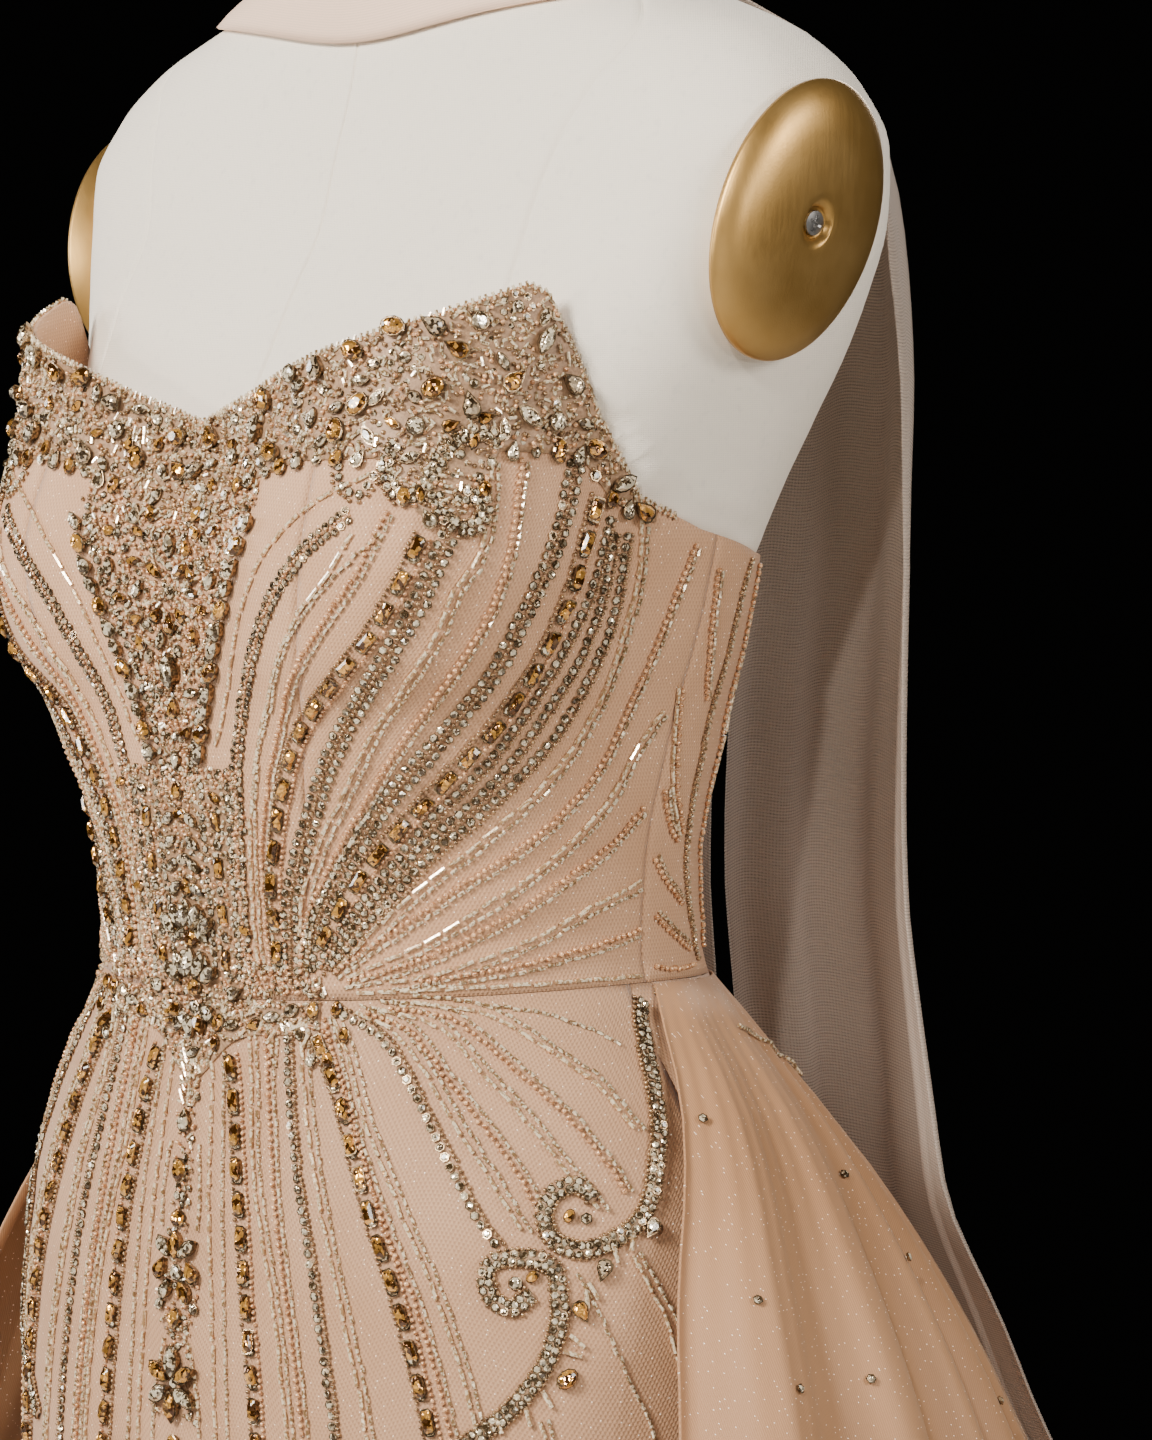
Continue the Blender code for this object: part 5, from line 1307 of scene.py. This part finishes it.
plastronEdgeStones = [("clear", "pear"), ("amber", "oval"), ("clear", "navette")]


def makePlastron():
    for side in (1, -1):
        for k, height in enumerate(np.arange(1.178, 1.268, 0.0078)):
            colour, shape = plastronEdgeStones[k % 3]
            stone(colour, shape, side * (plastronEdge(height) + 1.8), height, 8.2, 90 - side * 38, 5.2, 0.0008)
        for height in np.arange(1.170, 1.272, 0.0040):
            stone("clear", "round", side * (plastronEdge(height) - 0.6), height, 3.1, 0, 3.1)
        for turn in (0.5, 1.2, 1.9, 2.6):  # a star of tubes round the motif
            angle, height = side * (2.2 + 2.6 * math.sin(turn)), 1.238 + 0.011 * math.cos(turn)
            layTube(angle, height, math.pi / 2 - side * turn, 0.0062, 0.0015, 0.0012)
    layStones(plastronStones, 1, 0.6)
    for side in (1, -1):
        inPanel = lambda a, h: a < plastronEdge(h) - 1 and h < crustBottom(a)
        strewStones(side, (1, 21), (1.165, 1.280), 0.0080, inPanel)
    a, h = scattered(-22, 22, 1.160, 1.286, fineSpacing)
    inside = (np.abs(a) < plastronEdge(h) + 0.5) & (h < crustBottom(a) + 0.002)
    crust(a[inside], h[inside], baseLift, panelShares)


uprightStones = [("amber", "baguette", 7.2, 2.9), ("clear", "round", 4.2, 4.2)]  # colour, shape, length, width
waistSideStones = [
    ("amber", "oval", 31.8, 1.0835, 6.4, 90), ("amber", "oval", 36.6, 1.0845, 6.0, 60),
    ("amber", "oval", 35.4, 1.0655, 6.4, 120), ("clear", "pear", 32.0, 1.0655, 6.0, 60),
    ("clear", "round", 29.0, 1.074, 4.0, 0), ("amber", "oval", 38.2, 1.075, 5.6, 90),
    ("clear", "pear", 12.6, 1.088, 8.0, 20), ("amber", "pear", 18.0, 1.0765, 7.0, 200),
    ("clear", "navette", 22.6, 1.080, 8.0, 10), ("smoke", "oval", 27.0, 1.083, 6.2, 30),
    ("amber", "oval", 8.0, 1.076, 7.0, 60),
]
waistCentreStones = [
    ("amber", "oval", 0.4, 1.1545, 7.2, 0), ("smoke", "oval", 0.4, 1.1375, 6.6, 0),
    ("amber", "pear", 0.4, 1.1275, 7.4, 90), ("amber", "oval", 0.4, 1.1075, 8.0, 0),
    ("amber", "oval", 0.4, 1.0885, 8.0, 0), ("clear", "big", 0.4, 1.0805, 6.0, 0),
]


def waistDepth(angle):  # of the beading under the waist: deepest at the centre
    return 0.018 * np.exp(-((angle / 9.0) ** 2))


def makeWaist():
    for side in (1, -1):
        for k, height in enumerate(np.arange(1.100, 1.160, 0.0088)):  # two upright rows of stones each side
            colour, shape, length, width = uprightStones[k % 2]
            stone(colour, shape, side * 10.2, height, length, 90, width)
            stone("clear", "navette", side * 3.4, height, 7.6, 90 + side * 52, 3.4)
        for angle in (6.6, 13.6):
            for height in np.arange(1.094, 1.168, 0.0040):
                stone("clear", "round", side * angle, height, 3.0, 0, 3.0)
        layStones(waistSideStones, side, 0.7)
        for k in range(9):  # sprays of long tubes
            spin = math.radians(70 - 16 * (k % 4))
            height = 1.081 - 0.0042 * (k % 3)
            layTube(side * (9 + 2.7 * k), height, spin if side > 0 else math.pi - spin, 0.0062, 0.0016, 0.0016)
    for base, lean in ((1.1175, 24), (1.0985, 26)):  # fans of stones
        for k in range(-2, 3):
            stone("clear", "navette", 2.9 * k, base - 0.0011 * k * k, 10.0, 90 - lean * k, 4.6, 0.0016)
    for k in range(-2, 3):
        colour = ("clear", "amber", "clear")[k % 3]
        stone(colour, "pear", 2.9 * k, 1.0735 + 0.0012 * k * k, 8.6, 270 + 26 * k, 5.4, 0.0014)
    layStones(waistCentreStones, 1, 0.66)
    for side in (1, -1):
        strewStones(side, (1, 16), (1.090, 1.168), 0.0080, lambda a, h: h > waistline(a) + 0.003)
        belowWaist = lambda a, h: 0.004 < waistline(a) - h < 0.008 + waistDepth(a)
        strewStones(side, (1, 31), (1.056, 1.084), 0.0076, belowWaist)
    a, h = scattered(-17, 17, 1.086, 1.172, fineSpacing)
    crust(a, h, baseLift, centreShares)
    a, h = scattered(-34, 34, 1.085, 1.102, fineSpacing)
    inside = (h > waistline(a) + 0.0014) & (np.abs(a) > 15.5) & (h < 1.1005 - 0.0004 * (np.abs(a) - 20))
    crust(a[inside], h[inside], baseLift, panelShares)
    a, h = scattered(-33, 33, 1.050, 1.090, fineSpacing)
    inside = (h < waistline(a)) & (h > waistline(a) - 0.012 - waistDepth(a))
    crust(a[inside], h[inside], baseLift, waistShares)


skirtCentreStones = [
    ("clear", "pear", 0, 1.038, 8.4, 90), ("amber", "oval", 0, 1.019, 8.8, 90), ("clear", "round", -0.9, 1.0095, 3.6, 0),
    ("clear", "round", 0.9, 1.0095, 3.6, 0), ("amber", "big", 0, 1.001, 6.4, 0), ("amber", "pear", -4.6, 0.9815, 8.6, 60),
    ("amber", "pear", 4.6, 0.9815, 8.6, 120), ("clear", "navette", -3.4, 0.990, 10.0, 140),
    ("clear", "navette", 3.4, 0.990, 10.0, 40), ("clear", "big", 0, 0.9805, 6.0, 0),
    ("clear", "navette", -2.8, 0.9735, 9.0, 60), ("amber", "navette", 2.8, 0.9735, 9.0, 120),
    ("amber", "navette", 0, 0.991, 10.0, 90), ("clear", "big", -5, 0.9675, 4.6, 0), ("clear", "big", 5, 0.9675, 4.6, 0),
    ("amber", "oval", 0, 0.963, 8.0, 90), ("clear", "big", 0, 0.938, 5.0, 0),
]
scrollStones = [
    ("smoke", "pear", 72.8, 0.9935, 8.0, 250), ("amber", "pear", 69.9, 0.979, 8.0, 300),
    ("amber", "oval", 67.9, 0.955, 8.2, 40), ("clear", "pear", 79.2, 1.0075, 7.4, 230),
    ("clear", "round", 71.5, 1.012, 4.0, 0), ("amber", "oval", 69.5, 1.013, 5.0, 60),
    ("clear", "big", 62.6, 0.989, 5.0, 0), ("amber", "oval", 64.6, 0.9915, 5.0, 40),
]
scrollTubes = [  # angle, height, spin
    (71.4, 0.9865, 300), (70.6, 0.9835, 275), (69.2, 0.9685, 320), (68.6, 0.964, 345), (65.6, 0.9475, 300),
    (63.4, 0.941, 285), (76.6, 1.0035, 260), (74.4, 0.9995, 285), (60, 0.938, 290),
]
lowStones = [("amber", "oval", 7.4, 5), ("clear", "round", 4.2, 4.2)]  # colour, shape, length, width


def makeSkirtCentre():
    layStones(skirtCentreStones, 1, 0.66)
    for k in range(6):  # six-petalled flower
        turn, colour = math.radians(30 + 60 * k), "clear" if k % 2 else "amber"
        angle, height = math.degrees(0.0086 * math.cos(turn) / 0.115), 0.938 + 0.0086 * math.sin(turn)
        stone(colour, "navette", angle, height, 11.4, math.degrees(turn), 5.2, 0.001)
    for height in np.arange(1.062, 1.045, -0.0052):
        for lean in (-28, 0, 28):
            layTube(lean / 14.0, height, math.radians(90 - lean), 0.0060, 0.0015, 0.0012)
    for k, height in enumerate(np.arange(0.915, 0.70, -0.021)):
        colour, shape, length, width = lowStones[k % 2]
        stone(colour, shape, 0, height, length, 90, width)
    for side in (1, -1):
        layStones(scrollStones, side, 0.66)
        for angle, height, spin in scrollTubes:
            spin = math.radians(spin if side > 0 else 180 - spin)
            layTube(side * angle, height, spin, 0.0070, 0.0018, 0.0014)
    a, h = scattered(-8, 8, 0.926, 1.062, 0.0034)
    inside = np.abs(a) < np.interp(h, [0.926, 0.955, 0.975, 1.0, 1.062], [7.5, 3.0, 6.5, 2.4, 3.0])
    crust(a[inside], h[inside], baseLift, panelShares)


curls = [  # the scrolls that hang from the neckline's band on each cup
    ("scroll", [(41.6, 1.295), (40.6, 1.286), (41.4, 1.279), (43.4, 1.274), (45.2, 1.277), (46.2, 1.283),
                (47, 1.289), (48.6, 1.295), (51.5, 1.298), (54.5, 1.2935)]),
    ("chain", [(39.4, 1.284), (38.6, 1.279), (37.4, 1.2755), (35, 1.279), (34.2, 1.284), (35.4, 1.288)]),
    ("scroll", [(46.6, 1.277), (47.8, 1.269), (49.9, 1.2635), (52.2, 1.2645), (53, 1.270), (51.6, 1.275),
                (49.8, 1.2745), (50, 1.2705)]),
]
trimMarks = [(0.213, 1.072), (0.295, 1.066), (0.389, 1.057), (0.425, 1.050)]  # share, height at 0, 0.4, 0.8 and 1
looseStones = [
    (0.028, 1.045), (0.292, 1.018), (0.064, 0.985), (0.321, 0.988), (0.092, 0.955), (0.189, 0.953), (0.25, 0.90),
    (0.14, 0.85), (0.42, 0.93),
]


def onOverskirt(marks, side):  # place, direction along the marks and outward normal at (share, height) marks
    share, height = np.array(marks, float).T
    point = overskirtSurface(share, height) * (side, 1, 1)
    out = normalsOf(overskirtSurface, share, height, 0.003, 0.002) * (side, 1, 1)
    return point, unit(np.gradient(point, axis=0)), out


def trimOverskirt():
    steps = np.linspace(0, 1, 14)
    line = np.column_stack([np.interp(steps, [0, 0.4, 0.8, 1], values) for values in zip(*trimMarks)])
    for side in (1, -1):
        point, along, out = onOverskirt(line, side)
        sew("silver", "stub", point + 0.0011 * out, along, out, (0.0038, 0.0018, 0.0018))
        point, along, out = onOverskirt(looseStones, side)
        setStone("clear", "round", point + 0.0006 * out, along, out, (0.0034, 0.0034))


makeNecklineCrust()
makePlastron()
trimOverskirt()
makeWaist()
makeSkirtCentre()
for side in (1, -1):
    for kind, marks in curls:
        layLine(kind, marks, side)
for side in (1, -1):
    for kind, marks in bodiceLines + backLines + skirtLines + joinLines:
        layLine(kind, marks, side)
print("beads laid out")


# All beads of one finish become one mesh: each shape's corners, scaled and turned into the bead's own axes.
def beadMesh(name, parts, material, smooth):
    points, faces, start = [], [], 0
    for shape, rows in parts:
        corners, corner = shapes[shape]
        place, along, out, size = (np.concatenate([row[i] for row in rows]) for i in range(4))
        across = unit(np.cross(out, along))
        axes = np.stack([np.cross(across, out), across, out], 1) * size[:, :, None]
        points.append((np.einsum("ck,nkd->ncd", corners, axes) + place[:, None]).reshape(-1, 3))
        index = corner[None] + (np.arange(len(place)) * len(corners))[:, None, None] + start
        faces.append(index.reshape(-1, 3))
        start += len(place) * len(corners)
    meshObject(name, np.concatenate(points), np.concatenate(faces), material, smooth)
    print(f"  {name}: {sum(len(f) for f in faces)} triangles")


# Each finish's dark and pale colours spread the bead's own tone into painted dark reflections and painted highlights.
beadFinish = {  # dark colour, pale colour, roughness, metallic, coat, facet, smooth
    "peach": ((0.42, 0.19, 0.08), (0.86, 0.50, 0.26), 0.18, 0.15, 0.8, 0.0, True),
    "cream": ((0.44, 0.265, 0.125), (0.98, 0.81, 0.55), 0.11, 0.25, 1.0, 0.0, False),
    "silver": ((0.27, 0.165, 0.075), (0.97, 0.82, 0.57), 0.11, 0.28, 1.0, 0.0, False),
    "bronze": ((0.16, 0.09, 0.04), (0.48, 0.29, 0.14), 0.20, 0.45, 0.6, 0.0, True),
    "clear": ((0.075, 0.046, 0.020), (1.00, 0.86, 0.61), 0.04, 0.45, 1.0, 0.0013, False),
    "smoke": ((0.055, 0.034, 0.016), (0.84, 0.65, 0.42), 0.04, 0.55, 1.0, 0.0013, False),
    "amber": ((0.085, 0.030, 0.004), (0.92, 0.46, 0.10), 0.04, 0.66, 0.9, 0.0019, False),
    "socket": ((0.10, 0.065, 0.034), (0.36, 0.25, 0.14), 0.26, 0.85, 0.0, 0.0, False),
}
for finish, (dark, pale, roughness, metallic, coat, facet, smooth) in beadFinish.items():
    parts = [(shape, rows) for (own, shape), rows in sewn.items() if own == finish]
    beadMesh(finish + "Beads", parts, glass(finish + "Glass", dark, pale, roughness, metallic, coat, facet), smooth)


# The base under the crusted areas and the scroll cords is darker than the gown's cloth: painted shade in the gaps
# between the packed beads.
paintedShadeGround = metal("crustGroundPaintedShade", (0.27, 0.155, 0.080), (0.42, 0.255, 0.145), 0.45, 900.0, 0.1)
groundCut = {"rows": 24, "lift": 0.0008, "thickness": 0.0006, "inset": 0.0006}


def ground(name, angles, low, high, node):  # the base of a crusted area
    height = low + (high - low) * np.linspace(0, 1, groundCut["rows"])[:, None]
    angle = np.broadcast_to(angles, height.shape)
    out = normalsOf(gownSurface, angle, height)
    outer = gownSurface(angle, height) + groundCut["lift"] * out
    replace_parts(shell(name, outer, out, groundCut["thickness"], paintedShadeGround)[0], node)


inset = groundCut["inset"]
for word, side in sides:
    own = word.lower()
    angles = np.sort(side * np.linspace(0.2, 80, 90))
    low, high = crustBottom(angles) + inset, neckline(angles) - inset
    ground("necklineGround" + word, angles, low, high, "neckline_beading_" + own)
    scrollCord("hipScroll" + word, hipScroll, side, paintedShadeGround, "hip_scroll_" + own)
    scrollCord("frontScroll" + word, frontScroll, side, paintedShadeGround, "front_scroll_" + own)
angles = np.linspace(-16, 16, 30)
ground("centreGround", angles, waistline(angles) + inset, np.full_like(angles, 1.168), "centre_beading")
angles = np.linspace(-33, 33, 50)
high = waistline(angles) - 0.0010
ground("waistGround", angles, high - 0.012 - waistDepth(angles), high, "waist_beading")


def refinish(node, material):
    thing = bpy.data.objects[node]
    for slot in thing.material_slots:
        slot.material = material


refinish("stand_base", metal("standIron", (0.030, 0.027, 0.024), (0.055, 0.050, 0.045), 0.42, 40.0, 0.4))
refinish("stand_pole", metal("poleSteel", (0.32, 0.31, 0.30), (0.42, 0.41, 0.40), 0.28, 90.0))
refinish("neck_cap", metal("capBrass", (0.46, 0.31, 0.13), (0.58, 0.40, 0.19), 0.30, 50.0))
refinish("back_zip", metal("zipMetal", (0.42, 0.34, 0.28), (0.60, 0.50, 0.42), 0.35, 500.0))


floorDisc = {"radius": 3.2, "corners": 96, "drop": 0.0006}


def makeFloor():
    f = Finish("paleFloor")
    f.set(Base_Color=f.mix(f.noise(1.2, 3.0), (0.60, 0.59, 0.57), (0.66, 0.65, 0.63)), Roughness=0.7)
    rim = 2 * floorDisc["radius"] * polygon(floorDisc["corners"], 0.0)
    mesh = bpy.data.meshes.new("floor")
    mesh.from_pydata([(x, y, -floorDisc["drop"]) for x, y in rim], [], [tuple(range(len(rim)))])
    mesh.materials.append(f.material)
    floor = bpy.data.objects.new("floor", mesh)
    bpy.context.scene.collection.objects.link(floor)


makeFloor()
print("trims, stand and floor")
